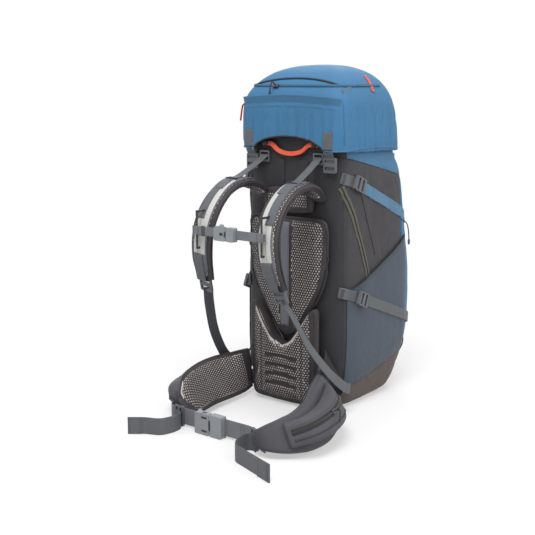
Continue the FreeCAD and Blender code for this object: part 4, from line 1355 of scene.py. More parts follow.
NET_AND_SPACER = ["net_dark", "spacer_pale"]
UPPER_HALF = [(0, 160), (30, 176), (62, 218), (98, 286), (110, 340), (112, 390), (108, 430), (90, 440), (40, 441),
              (0, 441)]
upper_loop = outline_loop(UPPER_HALF, 120)
upper = cushion("upper_back_pad", upper_loop * np.array([0.985, 1.0]), -113.4, -131.8, 8, 14, 1.2)
settle(upper, 3.0, 0.004, [v.index for v in upper.data.vertices if v.co.y > -0.1145])
for v in upper.data.vertices:
    x, y, z = v.co / MM
    if y < -125 and 190 < z < 425:
        v.co.y += 2.2 * math.exp(-((abs(x) - 17) / 3.0) ** 2) * MM
subdivided(upper)
two_tone(upper, lambda p, n: n.y < -0.6 and abs(p.x) > 19 and inside(upper_loop, p.x, p.z, 13))
keep(upper, "pack", "mesh_fabric", NET_AND_SPACER, "upper_pad")
upper_tree = surface_of(upper)

LUMBAR_HALF = [(0, 146), (22, 156), (38, 172), (63, 210), (80, 236), (90, 236), (91.5, 200), (92, 150), (91, 60),
               (88, 22), (76, 9), (40, 6), (0, 5.5)]
CHANNELS = (118, 96, 74, 52)
CHANNEL_BOW = 0.0018
lumbar_loop = outline_loop(LUMBAR_HALF, 132)
lumbar = cushion("lumbar_pad_cloth", lumbar_loop, -114.5, -148.0, 12, 16, 2.0)
settle(lumbar, 3.0, 0.0045, [v.index for v in lumbar.data.vertices if v.co.y > -0.116])
made_plain(subdivided(lumbar))
for v in lumbar.data.vertices:
    x, y, z = v.co / MM
    if y < -138:
        across = max(0.0, 1 - (abs(x) / 46) ** 6)
        for level in CHANNELS:
            v.co.y += 4.2 * across * math.exp(-((z - level + CHANNEL_BOW * x * x) / 3.4) ** 2) * MM
        if 20 < z < 190:
            v.co.y += 2.6 * math.exp(-((abs(x) - 58) / 3.5) ** 2) * MM
subdivided(lumbar)


def in_channel(p):
    """Whether a place lies in one of the pressed channels."""
    return abs(p.x) < 45 and min(abs(p.z - level + CHANNEL_BOW * p.x * p.x) for level in CHANNELS) < 5


two_tone(lumbar, lambda p, n: n.y < -0.5 and inside(lumbar_loop, p.x, p.z, 14) and not in_channel(p))
keep(lumbar, "pack", "mesh_fabric", NET_AND_SPACER, "lumbar_pad")
lumbar_tree = surface_of(lumbar)
print("back pads", len(upper.data.polygons), len(lumbar.data.polygons))

# %% [markdown]
# Over the pads go the nets, the piping, the stitched channels, the webbing strip up
# the middle and the two rails that the harness slides on.

# %% Nets and trims of the back
back_net("upper_pad_net", "pack", upper_tree, -112, 160, 224, 284,
         lambda x, z: inside(upper_loop, x, z, 3) and abs(x) > 13)
back_net("lumbar_net", "pack", lumbar_tree, -93, 4, 186, 240, lambda x, z: inside(lumbar_loop, x, z, 4))
pad_piping("upper_pad_piping", upper_loop, upper_tree, 0.965, 0.4, -124, 2.0)
pad_piping("lumbar_pad_piping", lumbar_loop, lumbar_tree, 0.955, 0.3, -140, 1.6)
bars = [[back_hit(lumbar_tree, x, level - CHANNEL_BOW * x * x, 0.9)[0] for x in np.linspace(-44, 44, 30)]
        for level in CHANNELS]
sewn("lumbar_channel_stitches", bars, (3.0, 2.2, 0.8), "pack", "mesh_fabric", "binding_dark")
strip = [back_hit(upper_tree, 0, z, 1.5)[0] for z in np.linspace(188, 428, 40)]
strap("centre_strip", strip, (1, 0, 0), 24, 1.8, "pack", "grey_webbing", "facing_grey", "torso_webbings")
edges = [[(p[0] + s, p[1] - 1.1, p[2]) for p in strip[1:-1]] for s in (-10, 10)]
sewn("centre_strip_stitches", edges, (3.0, 2.2, 0.7), "pack", "grey_webbing", "thread_dark")
for side, word in SIDES:
    rail = [(side * 32, -112.9, z) for z in np.linspace(446, 568, 20)]
    strap("torso_rail_" + word, rail, (1, 0, 0), 24, 1.7, "pack", "grey_webbing", "binding_dark")
print("back trims done")

# %% [markdown]
# Shoulder straps and hip wings are shaped foam. Each is a row of rounded stations
# along a line: a centre, a half width and a half thickness. The same stations later
# carry the net on the wearer's side and the piping along both edges.


# %% Shaped pads along a line
def soft_bar(name, stations, squareness, count, rows, pressure, cap, shrink=0.94):
    """A padded bar, rounded off at both ends and swollen like filled cloth."""
    flat = spline([(*c, *(np.array(a) * (shrink * 0.5 + 0.5)), *(np.array(b) * shrink)) for c, a, b in stations], rows)
    turns = [2 * math.pi * i / count for i in range(count)]
    rings = [[row[:3] + (row[3:6] * math.cos(t) + row[6:9] * math.sin(t)) * reach_of(t, squareness) for t in turns]
             for row in flat]
    rings = np.array(rings)
    ends = []
    for ring, way in ((rings[0], flat[0, :3] - flat[1, :3]), (rings[-1], flat[-1, :3] - flat[-2, :3])):
        middle = ring.mean(axis=0)
        ends.append(middle + (ring - middle) * 0.80 + way * 1.2 / np.linalg.norm(way))
    obj = closed_piece(name, np.concatenate([[ends[0]], rings, [ends[1]]]))
    settle(obj, pressure, cap)
    return subdivided(obj), flat


STRAP = [(74, -119, 486, 21), (79, -149, 507, 27), (83, -193, 518, 31), (85, -243, 509, 31),
         (86, -288, 474, 31), (89, -313, 424, 30), (95, -311, 366, 28), (102, -292, 312, 22)]
STRAP_THICK = 17.0
STEPS = 90
NET_HALF = 33
FACING_ROWS, FACING_COLUMNS = 60, 13


def strap_frames(side):
    """Along a shoulder strap: centre, direction across it, outer direction, half width."""
    fine = spline(STRAP, STEPS)
    run = unit(np.gradient(fine[:, :3], axis=0))
    across = unit(np.array([1.0, 0, 0]) - run * run[:, :1])
    out = np.cross(across, run)
    out[out[:, 2] - out[:, 1] < 0] *= -1
    mirror = np.array([side, 1, 1])
    return fine[:, :3] * mirror, across * mirror * side, out * mirror, fine[:, 3]


def strap_sampler(c, across, out, tree):
    """Gives places on a strap: u from its middle in mm, v from 0 to 1 along it."""
    def sample(u, v, face=1, lift=0.0):
        i = min(STEPS - 1.001, max(0.0, v * (STEPS - 1)))
        k = int(i)
        t = i - k
        p = c[k] * (1 - t) + c[k + 1] * t + across[k] * u
        n = out[k] * face
        hit = tree.ray_cast(Vector(p + n * 40), Vector(-n))
        if hit[0] is None:
            hit = tree.find_nearest(Vector(p + n * 9))
        return hit[0] + hit[1] * lift, hit[1]
    return sample


def strap_cloth(side, word, c, across, out, half):
    """The padded strap itself, pale under its nets."""
    stations = [(c[i], across[i] * half[i], out[i] * STRAP_THICK / 2) for i in [*range(0, STEPS, 6), STEPS - 1]]
    stations[0] = (stations[0][0] + np.array([0, 4.6, -4]), *stations[0][1:])
    cloth, flat = soft_bar("shoulder_strap_cloth_" + word, stations, 3.0, 28, 60, 3.0, 0.0022)

    def under_net(p, n):
        i = int(np.argmin(np.linalg.norm(c - np.array(p), axis=1)))
        off = abs(float(np.dot(np.array(p) - c[i], across[i])))
        return abs(n.dot(Vector(out[i]))) > 0.75 and off < half[i] - 9.5 and 2 < i < STEPS - 3

    keep(two_tone(cloth, under_net), "harness", "mesh_fabric", NET_AND_SPACER, "shoulder_strap_" + word)
    return surface_of(cloth)


def strap_nets(word, c, half, sample):
    long_way = float(walked(c)[-1])

    def covered(u, v):
        share = v / long_way
        return abs(u - NET_HALF) < half[min(STEPS - 1, int(share * (STEPS - 1)))] - 3.5 and 0.02 < share < 0.985

    for face, label in ((-1, "inner"), (1, "outer")):
        net_over("strap_net_" + label + "_" + word, "harness",
                 lambda u, v: sample(u - NET_HALF, v / long_way, face), 2 * NET_HALF, long_way, covered, lift=0.7)


def strap_facing(side, word, sample):
    """The smooth cloth over the outside of a strap, pale in its middle, and its stitches."""
    rows = []
    for v in np.linspace(0.16, 0.97, FACING_ROWS):
        wide = 18.0 * min(1.0, ((v - 0.13) / 0.12) ** 0.5, ((1.0 - v) / 0.10) ** 0.5)
        rows.append([sample(u - side * 1.5, v, 1, 2.3 - 1.0 * (abs(u) / max(wide, 1)) ** 4)[0]
                     for u in np.linspace(-wide, wide, FACING_COLUMNS)])
    facing = add("strap_facing_cloth_" + word, grid_mesh("strap_facing", rows, False))
    for f in facing.data.polygons:
        row, column = divmod(f.index, FACING_COLUMNS - 1)
        f.material_index = int(not 0.18 <= row / (FACING_ROWS - 1) <= 0.80 or abs(column - 5.5) > 5)
    keep(hollow(facing, 1.6, 0), "harness", "light_grey_fabric", ["facing_pale", "facing_grey"])
    rows = [[sample(s * 16.2 - side * 1.5, v, 1, 3.4)[0] for v in np.linspace(0.2, 0.93, 70)] for s in (-1, 1)]
    rows.append([sample(side * 2.4, v, 1, 3.7)[0] for v in np.linspace(0.24, 0.88, 70)])
    sewn("strap_stitches_" + word, rows, (3.2, 2.3, 0.7), "harness", "light_grey_fabric", "thread_dark")
    return facing


strap_trees = {}
for side, word in SIDES:
    c, across, out, half = strap_frames(side)
    tree = strap_trees[side] = strap_cloth(side, word, c, across, out, half)
    sample = strap_sampler(c, across, out, tree)
    strap_nets(word, c, half, sample)
    rims = [tube("strap_rim", [c[i] + across[i] * s * (half[i] - 0.6) * 0.985 for i in range(1, STEPS)], 1.7)
            for s in (-1, 1)]
    keep(joined("strap_piping_" + word, rims), "harness", "mesh_fabric", "binding_dark")
    facing = strap_facing(side, word, sample)
    middle = [sample(side * 6.5, v, 1, 4.2)[0] for v in np.linspace(0.27, 0.62, 60)]
    tape = strap("strap_webbing_" + word, middle, across[50], 20, 1.8, "harness", "grey_webbing", "web_grey")
    way = (c[-1] - c[-3]) / np.linalg.norm(c[-1] - c[-3])
    low_tab = [sample(0, v, 1, 5.4)[0] for v in np.linspace(0.82, 0.99, 16)] + [c[-1] + way * 6 + out[-1] * 3]
    strap("strap_end_tab_" + word, low_tab, across[-1], WIDE, 2.0, "harness", "grey_webbing", "web_grey")
    keeper = [sample(u, 0.30, 1, 5.4)[0] for u in np.linspace(-13, 13, 12)]
    strap("lifter_keeper_" + word, keeper, (0, -1, 0.2), 14, 1.6, "harness", "grey_webbing", "keeper_plum")
    if side > 0:
        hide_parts("strap_facings")
        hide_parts("strap_webbings")
print("shoulder straps", len(strap_trees))

# %% [markdown]
# The yoke joins the straps behind the neck and slides on the two rails.

# %% Yoke
YOKE_HALF, YOKE_Y, YOKE_Z = 66, -121.9, 477
rings = []
for x in np.linspace(-YOKE_HALF, YOKE_HALF, 34):
    tall = 29 * (1 - 0.24 * (abs(x) / YOKE_HALF) ** 3)
    turns = [2 * math.pi * i / 24 for i in range(24)]
    rings.append([(x, YOKE_Y + 7.0 * reach_of(t, 3.5) * math.sin(t), YOKE_Z + tall * reach_of(t, 3.5) * math.cos(t))
                  for t in turns])
yoke = closed_piece("harness_yoke_cloth", rings)
settle(yoke, 2.5, 0.0015)
subdivided(yoke)
two_tone(yoke, lambda p, n: n.y < -0.7 and abs(p.x) < 54 and 460 < p.z < 494)
keep(yoke, "harness", "mesh_fabric", NET_AND_SPACER, "harness_yoke")
yoke_tree = surface_of(yoke)
back_net("yoke_net", "harness", yoke_tree, -64, 449, 128, 56,
         lambda x, z: abs(x) < 61 and 453 < z < 501 and back_hit(yoke_tree, x, z) is not None)

# %% [markdown]
# The lower webbings and the load lifters join the harness to the bag. The harness
# slides up its rails; these straps are plain fixed meshes between the two bodies.


# %% Lower webbings and load lifters
def bending(obj, finish_name, start, end):
    """Gives a piece one finish and bakes its place into its mesh; start and end, in mm, are not used."""
    obj.data.materials.clear()
    obj.data.materials.append(F[finish_name])
    tuple(np.array(start) * MM)
    tuple(np.array(end) * MM)
    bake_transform(obj)
    return obj


for side, word in SIDES:
    c, across, out, half = strap_frames(side)
    way = (c[-1] - c[-3]) / np.linalg.norm(c[-1] - c[-3])
    top = c[-1] + way * 24
    path = [top, top + way * 10, (side * 119, -263, 247), (side * 136, -230, 180), (side * 150.5, -190, 125),
            (side * 158.5, -158, 92), (side * 158, -118, 64), (side * 156.5, -97, 56)]
    turn = np.linspace(0, 1, 60)[:, None]
    over = np.array([side * 0.45, -0.85, -0.28]) * (1 - turn) + np.array([side * 0.12, -0.62, -0.78]) * turn
    # painted shade: the left lower webbing, on the side away from the key lamp, takes the darker web_dark finish; the
    # right one takes web_grey
    low_web = bending(webbing("lower_webbing_" + word, spline(path, 60), over, 24, 1.8),
                      "web_grey" if side > 0 else "web_dark", path[1], path[-1])
    path = [(side * 75, -118.0, 573), (side * 76, -124, 568), (side * 78, -150, 554), (side * 80.5, -178, 541),
            (side * 83, -203, 530.5)]
    bending(webbing("load_lifter_" + word, spline(path, 40), (1, 0, 0), 20, 1.8), "web_grey",
            path[0], path[-1])
    under = [strap_trees[side].find_nearest(Vector((side * x, y, z)))
             for x, y, z in ((83, -203, 530.0), (84.5, -226, 523), (85.2, -246, 515), (85.6, -262, 505))]
    strap("lifter_end_" + word, spline([tuple(hit[0] + hit[1] * 4.6) for hit in under], 20), (1, 0, 0), 20, 1.8,
          "harness", "dark_webbing", "web_grey")
    if side > 0:
        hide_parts("harness_webbings")
print("lower webbing points", len(over))

# %% [markdown]
# The hip belt. Each wing is one shaped pad: net towards the wearer, plain cloth
# outside, piping along both edges. The zipped pockets are fuller pads on the outside.
# A wing's row is a place on its top edge, one on its bottom edge, and its thickness.


# %% Wings and pockets of the hip belt
WING = {
    1: [((103, -136, 116), (106, -119, 14), 7), ((112, -162, 121), (138, -152, 9), 14),
        ((135, -217, 110), (192, -205, 7), 19), ((158, -272, 103), (220, -262, 6), 20),
        ((180, -322, 92), (238, -318, 6), 19), ((188, -368, 84), (236, -368, 7), 17),
        ((178, -400, 75), (214, -404, 8), 14), ((160, -420, 62), (180, -428, 12), 11),
        ((146, -424, 52), (152, -428, 16), 9)],
    -1: [((-103, -136, 116), (-106, -119, 14), 7), ((-124, -166, 113), (-98, -158, 10), 15),
         ((-148, -208, 110), (-92, -205, 12), 19), ((-146, -272, 108), (-88, -270, 14), 19),
         ((-126, -340, 102), (-76, -334, 14), 18), ((-110, -372, 84), (-70, -366, 14), 13),
         ((-98, -388, 60), (-72, -384, 16), 8)],
}
POCKET = {1: (2, [12, 34, 38, 34, 14], 0.12, 0.82), -1: (2, [18, 54, 50, 18], 0.25, 0.92)}


def wing_stations(rows, side, low=0.0, high=1.0, thick=None):
    """Centre, half height and half thickness at each station of a wing or of its pocket."""
    top = np.array([r[0] for r in rows], float)
    bottom = np.array([r[1] for r in rows], float)
    total = top + bottom
    out = []
    for i, row in enumerate(rows):
        run = total[min(i + 1, len(rows) - 1)] - total[max(i - 1, 0)]
        up = (top[i] - bottom[i]) * 0.5
        n = np.cross(run, up) * -side
        n /= np.linalg.norm(n)
        size = thick[i] if thick else row[2]
        off = row[2] + size / 2 - 1 if thick else size / 2
        middle = bottom[i] + (top[i] - bottom[i]) * (low + high) / 2
        out.append((middle + n * off, up * (high - low), n * size / 2))
    return out


class Bar:
    """Places on one face of a shaped pad: u mm across, v mm along."""

    def __init__(self, flat, tree, face):
        self.flat, self.tree, self.face = flat, tree, face
        self.reach = walked(flat)
        self.long = float(self.reach[-1])

    def __call__(self, u, v, lift=0.0):
        row = np.array([np.interp(v, self.reach, self.flat[:, k]) for k in range(9)])
        n = row[6:9] / np.linalg.norm(row[6:9]) * self.face
        p = row[:3] + row[3:6] / np.linalg.norm(row[3:6]) * u
        hit = self.tree.ray_cast(Vector(p + n * 60), Vector(-n), 75)
        if hit[0] is None:
            hit = self.tree.find_nearest(Vector(p + n * 6))
        return hit[0] + hit[1] * lift, hit[1]

    def half(self, v):
        return float(np.interp(v, self.reach, np.linalg.norm(self.flat[:, 3:6], axis=1)))

    def line(self, across, margin, count, lift):
        """A row of places along the pad; across(v) says how far from its middle."""
        return [self(across(v), v, lift)[0] for v in np.linspace(margin, self.long - margin, count)]


def wing_finish(flat):
    """Pale spacer inside its border, net cloth round it, plain cloth outside."""
    def which(p, normal):
        at = int(np.argmin(np.linalg.norm(flat[:, :3] - np.array(p), axis=1)))
        row = flat[at]
        if normal.dot(Vector(row[6:9]).normalized()) >= -0.72:
            return 1
        off = abs(float(np.dot(np.array(p) - row[:3], row[3:6] / np.linalg.norm(row[3:6]))))
        return 0 if off < np.linalg.norm(row[3:6]) - 12 and 3 < at < len(flat) - 4 else 2
    return which


def wing(side, word):
    name = "hip_wing_cloth_" + word
    cloth, flat = soft_bar(name, wing_stations(WING[side], side), 4.0, 32, 56, 3.0, 0.0022)
    tree = surface_of(cloth)
    two_tone(cloth, wing_finish(flat))
    keep(cloth, "belt", "mesh_fabric", ["spacer_pale", "wing_grey", "net_dark"], "hip_wing_" + word)
    inner, outer = Bar(flat, tree, -1), Bar(flat, tree, 1)
    tallest = 2 * max(inner.half(v) for v in np.linspace(0, inner.long, 30))
    net_over("hip_net_" + word, "belt", lambda u, v: inner(u - tallest / 2, v), tallest, inner.long,
             lambda u, v: abs(u - tallest / 2) < inner.half(v) - 3.5 and 5 < v < inner.long - 7, lift=0.8)
    for share, label in ((1, "top"), (-1, "low")):
        rim = inner.line(lambda v: share * (inner.half(v) - 3.2), 3, 90, 0.2)
        cord("hip_piping_" + label + "_" + word, rim, 1.9, "belt", "mesh_fabric", "binding_dark")
    rows = [outer.line(lambda v: share * (outer.half(v) - 6), 8, 90, 0.4) for share in (1, -1)]
    sewn("hip_wing_stitches_" + word, rows, (3.4, 2.4, 0.7), "belt", "grey_fabric", "thread_dark")


def hip_pocket(side, word):
    first, bulge, low, high = POCKET[side]
    stations = wing_stations(WING[side][first:first + len(bulge)], side, low, high, bulge)
    pocket, flat = soft_bar("hip_pocket_cloth_" + word, stations, 2.8, 32, 44, 4.0, 0.003, 0.95)
    keep(pocket, "belt", "grey_fabric", "wing_grey", "hip_pocket_" + word)
    face = Bar(flat, surface_of(pocket), 1)
    zip_rows = np.array([[*face(face.half(v) * 0.12, v, 1.0)[0], *face(face.half(v) * 0.12, v)[1]]
                         for v in np.linspace(7, face.long - 7, 70)])
    tape = strap("hip_zip_tape_" + word, zip_rows[:, :3], line_sides(zip_rows), 12, 1.3,
                 "belt", "black_zip", "tape_black")
    sewn("hip_zip_coil_" + word, [zip_rows[:, :3] + zip_rows[:, 3:6] * 0.9], (1.9, 1.3, 3.4),
         "belt", "black_zip", "tape_olive")
    if side > 0:
        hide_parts("hip_zips")
    seam, upper, lower = [face.line(lambda v: face.half(v) * share + more, 7, 70, 0.5)
                          for share, more in ((-0.55, 0), (0.45, 0), (-0.55, 3))]
    cord("hip_pocket_seam_" + word, seam, 0.9, "belt", "grey_fabric", "binding_dark")
    sewn("hip_pocket_stitches_" + word, [upper, lower], (3.2, 2.3, 0.7), "belt", "grey_fabric", "thread_dark")


for side, word in SIDES:
    wing(side, word)
    hip_pocket(side, word)
print("wings done")

# %% [markdown]
# The belt's core runs through the lumbar pad's tunnel, and a near-black fin of cloth on
# each side ties the wing to the bag; the fin also stands in for the shade in the gap between them, as painted shade.

# %% Belt core and fins
core = webbing("belt_core", [(x, -119, 40) for x in np.linspace(-113, 113, 30)], (0, 0, 1), 35.5, 3.8)
roll = tube("belt_roll", [(x, -119, 40) for x in np.linspace(-88, 88, 24)], 6.2, 14)
keep(joined("belt_core_cloth", [core, roll]), "belt", "dark_webbing", "web_dark", "belt_plate")
for side, word in SIDES:
    a = spline([(side * 96, -114.8, 146), (side * 122, -113.4, 106), (side * 152, -110, 66)], 24)
    b = spline([(side * 103, -130, 117), (side * 122, -146, 74), (side * 146, -161, 22)], 24)
    rows = []
    for t in np.linspace(0, 1, 12):
        bow = math.sin(math.pi * t) * 3.0
        rows.append(a * (1 - t) + b * t + np.array([side * bow, 0, -bow * 0.5]))
    # the near-black fin is black cloth and also painted shade for the dark gap between wing and bag
    fin = made_plain(hollow(add("hip_fin_and_shade_" + word, grid_mesh("hip_fin_and_shade_" + word, rows, False)), 1.4, 0))
    outward(fin.data)
    bending(fin, "fin_black_and_gap_shade", (side * 124, -112, 92), (side * 127, -150, 62))
print("fins", len(rows))

# %% [markdown]
# The hip webbing passes the buckle in front and its loose tails hang off the
# adjusters, folded and sewn at their ends. The sternum webbing runs in the inner
# channel of its two buckles.

# %% Belt webbing, tails and sternum webbing
HIP_Y, HIP_Z, TAIL_Z = -397.3, 24.6, 19.6
UP = (0, 0, 1)
HIP_WIDE = 37.5
BARS = {"tail": (2.2, 1.7, 0.8), "hip": (2.0, 1.6, 0.9), "sternum": (1.6, 1.5, 0.8)}
HIP_LINES = {
    "right": ([(13, HIP_Y), (60, HIP_Y), (98, HIP_Y), (112, -398.8), (130, -406.5), (152, -417), (168, -423.4)], 90,
              [(142, -421.5), (130, -416.8), (120, -424), (121, -450), (138, -481), (170, -494), (216, -510),
               (257, -523.5)]),
    "left": ([(-29, HIP_Y), (-70, HIP_Y), (-102, HIP_Y), (-114, -395.6), (-123, -387), (-127.4, -374)], 70,
             [(-98, -405.4), (-86, -406.0), (-74, -413), (-70, -437), (-80, -468), (-112, -484), (-140, -504.5)]),
}
for word, (main, count, tail) in HIP_LINES.items():
    main = spline([(x, y, HIP_Z) for x, y in main], count)
    tail = spline([(x, y, TAIL_Z) for x, y in tail], 110)
    # painted light and shade: the main run of each hip webbing takes the lighter web_hip finish, its tails and folds
    # the darker web_grey, though they are one webbing
    strap("hip_webbing_" + word + "_main", main, UP, HIP_WIDE, 1.8, "belt", "dark_webbing", "web_hip",
          "hip_webbing_" + word)
    strap("hip_webbing_" + word + "_tail", tail, UP, HIP_WIDE, 1.8, "belt", "dark_webbing", "web_grey")
    strap("hip_tail_fold_" + word, tail[-22:] + np.array([0, -1.9, 0]), UP, HIP_WIDE, 1.6,
          "belt", "dark_webbing", "web_grey")
    bars = [[tail[i] + np.array([0, -2.9, z]) for z in np.linspace(-16, 16, 20)] for i in (-3, -5, -20)]
    sewn("hip_tail_stitches_" + word, bars, BARS["tail"], "belt", "dark_webbing", "thread_dark")
bars = [[(x, HIP_Y - 1.2, HIP_Z + z) for z in np.linspace(-16, 16, 20)] for x in (-38, -46, 84, 92)]
sewn("hip_webbing_bars", bars, BARS["hip"], "belt", "dark_webbing", "thread_dark")
strap("adjuster_reflector", [(140.4, -419.9, z) for z in np.linspace(9, 40, 10)], (0.9, -0.42, 0), 3.2, 1.0,
      "belt", "light_grey_fabric", "reflective")

CHEST_Y, CHEST_Z = -340.1, 426.0
for word, x0, x1, ends in (("right", 14.5, 96.5, (92.5, 80.5)), ("left", -96.5, -20.5, (-92.5, -80.5))):
    line = [(x, CHEST_Y, CHEST_Z) for x in np.linspace(x0, x1, 24)]
    chest = strap("sternum_webbing_" + word, line, UP, 19.6, 1.7, "sternum", "grey_webbing", "web_hip")
    bars = [[(x, CHEST_Y - 1.1, z) for z in np.linspace(CHEST_Z - 8, CHEST_Z + 8, 12)] for x in ends]
    sewn("sternum_bars_" + word, bars, BARS["sternum"], "sternum", "grey_webbing", "thread_dark")
    if word == "right":
        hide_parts("sternum_webbings")
elastic = [(-66, CHEST_Y - 0.4, CHEST_Z + z) for z in np.linspace(-11, 11, 10)]
strap("sternum_elastic_loop", elastic, (1, 0, 0), 9, 3.6, "sternum", "grey_webbing", "web_dark")
print("belt and sternum webbing done")

# %% [markdown]
# Cords. Each one is a single smooth curve along its given route, as long and
# thick as the real one, and ends in a fitting, or goes back into the pack.


# %% Free cords
CORD_RADIUS = 1.5


def route_curve(name, route):
    """A smooth open curve along a route in mm."""
    curve = bpy.data.curves.new(name, "CURVE")
    curve.dimensions = "3D"
    line = curve.splines.new("NURBS")
    line.points.add(len(route) - 1)
    for point, place in zip(line.points, route):
        point.co = (*(np.array(place) * MM), 1)
    line.order_u = 3
    line.use_endpoint_u = True
    line.resolution_u = 12
    return curve


def route_length(route):
    """Length of the smooth curve along a route, in metres."""
    obj = add("measure", route_curve("measure", route))
    mesh = bpy.data.meshes.new_from_object(evaluated(obj))
    bpy.data.objects.remove(obj)
    return float(walked(np.array([v.co for v in mesh.vertices]))[-1])


def free_cord(name, node, route, body, finish_name):
    """A round cord along a route in mm; its length is measured but not kept."""
    curve = route_curve(name, route)
    curve.bevel_depth = CORD_RADIUS * MM
    curve.bevel_resolution = 3
    curve.use_fill_caps = True
    curve.materials.append(F[finish_name])
    obj = add(name, curve)
    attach(obj, body)
    if node:
        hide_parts(node)
    tuple(np.array(route[0]) * MM)
    route_length(route)


def cord_end(name, route, body, finish_name, slot_name, back, long, wide):
    """The moulded end on a cord: a small tapered barrel over its last millimetres."""
    way = np.array(route[-1]) - np.array(route[-2])
    way = way / np.linalg.norm(way)
    at = np.array(route[-1]) - way * back
    obj = tube(name, [at + way * long * t for t in np.linspace(0, 1, 12)], 1.0, 12)
    co = np.array([v.co for v in obj.data.vertices]) / MM
    share = ((co - at) @ way) / long
    axis = at + np.outer(share * long, way)
    swell = wide * (0.62 + 0.38 * np.sin(np.clip(share, 0, 1) * math.pi) ** 0.5 + 0.12 * (np.sin(share * 38) > 0.2))
    obj.data.vertices.foreach_set("co", ((axis + (co - axis) * swell[:, None]) * MM).ravel())
    obj.data.update()
    return keep(obj, body, slot_name, finish_name)


PULLS = {
    "hip_pull_cord_right": ([(258.83, -311.79, 84.46), (272.04, -310.21, 93.34), (275.55, -316.06, 81.64),
                             (277.11, -318.66, 67.34)], "hip_pull_right", "belt_slider_right"),
    "hip_pull_cord_left": ([(-189.95, -278.89, 32.17), (-203.64, -277.18, 24.07), (-209.04, -284.38, 15.07),
                            (-211.44, -287.58, 4.07)], "hip_pull_left", "belt_slider_left"),
    "lid_pull_cord": ([(-45.0, -114.84, 732.11), (-45.0, -126.96, 742.56), (-47.7, -130.34, 729.06),
                       (-48.9, -131.84, 712.56)], "lid_pull", "lid_slider"),
}
for name, (route, node, body) in PULLS.items():
    fitting = cord_end(name + "_end", route, body, "plastic_black", "black_plastic", 9, 9.5, 2.3)
    free_cord(name, node, route, body, "cord_black")
    print(name, "length mm", round(route_length(route) / MM, 1))
BUNGEE = [(104.0, 192.58, 402.0), (104.0, 222.58, 402.0), (100.0, 248.58, 372.0), (98.0, 252.58, 336.0)]
AXE = [(104.0, 197.01, 112.0), (104.0, 223.01, 112.0), (104.0, 227.01, 84.0), (104.0, 195.27, 62.0),
       (104.0, 169.27, 62.0)]
for side, word in SIDES:
    route, loop = [[(side * x, y, z) for x, y, z in line] for line in (BUNGEE, AXE)]
    fitting = cord_end("tool_cord_end_" + word, route, "pack", "plastic_blue", "blue_cord", 13, 14, 3.0)
    free_cord("tool_cord_" + word, "gear_cords" if side > 0 else None, route, "pack", "cord_blue")
    free_cord("axe_loop_" + word, None, loop, "pack", "cord_black")

# %% [markdown]
# The haul loop is a flat strap held in two sleeves. The draw cord rings the mouth,
# the flat sleeve for a water bladder hangs inside the rear wall, and the lid has a
# floor.


# %% Haul loop and inside parts
def oval(count, start=0.0):
    return [2 * math.pi * i / count + start for i in range(count)]


half_loop = [(76, -119.5, 602), (62, -119.5, 602), (50, -119.5, 600), (30, -119.5, 586)]
loop_line = [(-x, y, z) for x, y, z in half_loop] + [(0, -119.5, 580.6)] + half_loop[::-1]
strap("haul_loop_strap", spline(loop_line, 70), (0, 0.35, 1), 10.5, 4.2, "haul", "orange_cord", "web_orange",
      "haul_loop")
for side, word in SIDES:
    rows = []
    for x in np.linspace(61.5, 73.5, 14):
        size = 0.86 + 0.14 * math.sin(math.pi * (x - 61.5) / 12)
        rows.append([(side * x, -118.2 + 8.0 * size * reach_of(t, 4) * math.cos(t),
                      602 + 6.6 * size * reach_of(t, 4) * math.sin(t)) for t in oval(20)])
    anchor = keep(subdivided(closed_piece("haul_anchor_" + word, rows)), "pack", "grey_webbing", "binding_dark")
    if side > 0:
        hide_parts("haul_sleeves")
ring = []
for a in oval(120, 0.02):
    r = reach_of(a, 6.0 if math.sin(a) < 0 else 3.6)
    ring.append((129.7 * r * math.cos(a), 16.7 + 122.0 * r * math.sin(a), 613.4))
cord("draw_cord_braid", ring, 1.5, "pack", "blue_cord", "cord_blue", "draw_cord")
rows = []
for z in np.linspace(152, 518, 40):
    droop = 5 * math.exp(-((z - 518) / 20) ** 2)
    rows.append([(x, -99.2 + 0.8 * noise.noise(Vector((x / 30, 0, z / 50))),
                  z - droop * math.sin(math.pi * (x + 88) / 176)) for x in np.linspace(-88, 88, 24)])
sleeve = add("bladder_sleeve", grid_mesh("bladder_sleeve", rows, False))
keep(hollow(sleeve, 1.2), "pack", "grey_fabric", "side_grey", "hydration_sleeve")
rows = []
for scale in (0.0, 0.3, 0.6, 0.85, 1.0):
    row = []
    for a in oval(120, -math.pi / 2):
        r = scale * reach_of(a, 8.0 if math.sin(a) < 0 else 4.0)
        wave = noise.noise(Vector((math.cos(a) * scale * 3, math.sin(a) * scale * 3, 1)))
        row.append((143.5 * r * math.cos(a), 11.5 + 138.5 * r * math.sin(a), 633 + wave * (1 - scale)))
    rows.append(row)
board = add("lid_floor_cloth", grid_mesh("lid_floor_cloth", rows))
outward(board.data)
keep(hollow(board, 1.6, 0), "lid", "grey_fabric", "side_grey", "lid_floor")
print("inside parts", len(rows))

# %% [markdown]
# Small trims, and the moulded parts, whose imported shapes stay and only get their
# finish.

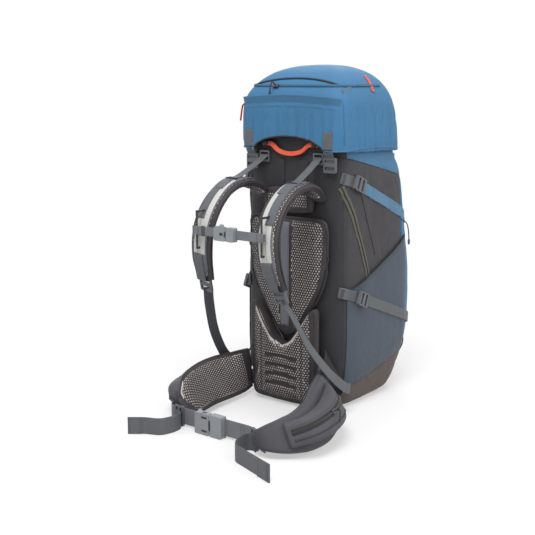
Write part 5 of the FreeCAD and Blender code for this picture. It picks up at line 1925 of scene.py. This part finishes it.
# %% Small trims and the finishes of the moulded parts
for side, word in SIDES:
    x, y, z = front_spot(side * 95, 142, 1.2)
    tag = [(x, y + t, z + 0.6 * math.sin(t)) for t in np.linspace(-1, 8, 10)]
    strap("red_tag_" + word, tag, UP, 9, 1.4, "pack", "orange_cord", "tab_red")
rows = []
for z in np.linspace(0, 8, 8):
    wide = 3.4 if z < 6.5 else 2.2
    rows.append([(-8 + wide * 1.6 * math.cos(t) * reach_of(t, 3), -346.8 + wide * math.sin(t) * reach_of(t, 3),
                  438.6 + z) for t in oval(16)])
keep(closed_piece("sternum_whistle", rows), "sternum", "light_plastic", "plastic_pale")
MOULDED = {
    "ladder_locks": "plastic_grey", "strap_locks": "plastic_grey", "hip_adjusters": "plastic_grey",
    "hip_buckle_female": "plastic_pale", "hip_buckle_male": "plastic_pale",
    "sternum_buckle_female": "plastic_pale", "sternum_buckle_male": "plastic_pale",
    "sternum_clips": "plastic_grey", "sternum_rails": "plastic_black", "front_sockets": "plastic_blue",
    "front_plugs": "plastic_blue", "cord_lock": "plastic_black", "cord_lock_button": "plastic_grey",
    "hip_slider_right": "slider_metal", "hip_slider_left": "slider_metal", "lid_zip_slider": "slider_metal",
    "frame_sheet": "plastic_white", "frame_stays": "stay_metal",
}
for node, finish_name in MOULDED.items():
    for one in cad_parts[node].material_slots:
        one.material = F[finish_name]
print("nodes still plain", [n for n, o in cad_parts.items() if n not in MOULDED and not o.hide_render])

# %% [markdown]
# The two buckles get painted shade for their openings: each is a thin black oval
# plate on the buckle's outer face, placed by shares of the buckle's own box.


# %% Painted shade for the openings in the faces of the two buckles
def opening_shade_plates(name, node, body, *spots):
    """Thin black ovals on a buckle, painted shade for its openings: (across, up, half wide, half tall) as shares of
    its box.
    """
    lo, hi = (np.array(v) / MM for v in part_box(node))
    middle = (lo + hi) / 2
    span = (hi - lo) / 2
    made = []
    for across, up, wide, tall in spots:
        rows = [[(middle[0] + span[0] * (across + wide * size * reach_of(t, 3) * math.cos(t)), lo[1] + y,
                  middle[2] + span[2] * (up + tall * size * reach_of(t, 3) * math.sin(t))) for t in oval(24)]
                for y, size in ((0.3, 1.0), (-0.25, 1.0), (-0.35, 0.8))]
        made.append(closed_piece(name + "_part", rows))
    keep(joined(name, made), body, "black_plastic", "plastic_black")


opening_shade_plates("hip_buckle_openings", "hip_buckle_female", "belt", (0.35, 0.62, 0.42, 0.10), (0.35, -0.62, 0.42, 0.10))
opening_shade_plates("hip_plug_openings", "hip_buckle_male", "belt_plug", (-0.1, 0.0, 0.10, 0.52))
opening_shade_plates("sternum_buckle_openings", "sternum_buckle_female", "sternum", (0.3, 0.0, 0.30, 0.22))
opening_shade_plates("sternum_plug_openings", "sternum_buckle_male", "sternum_plug", (-0.2, 0.0, 0.14, 0.42))
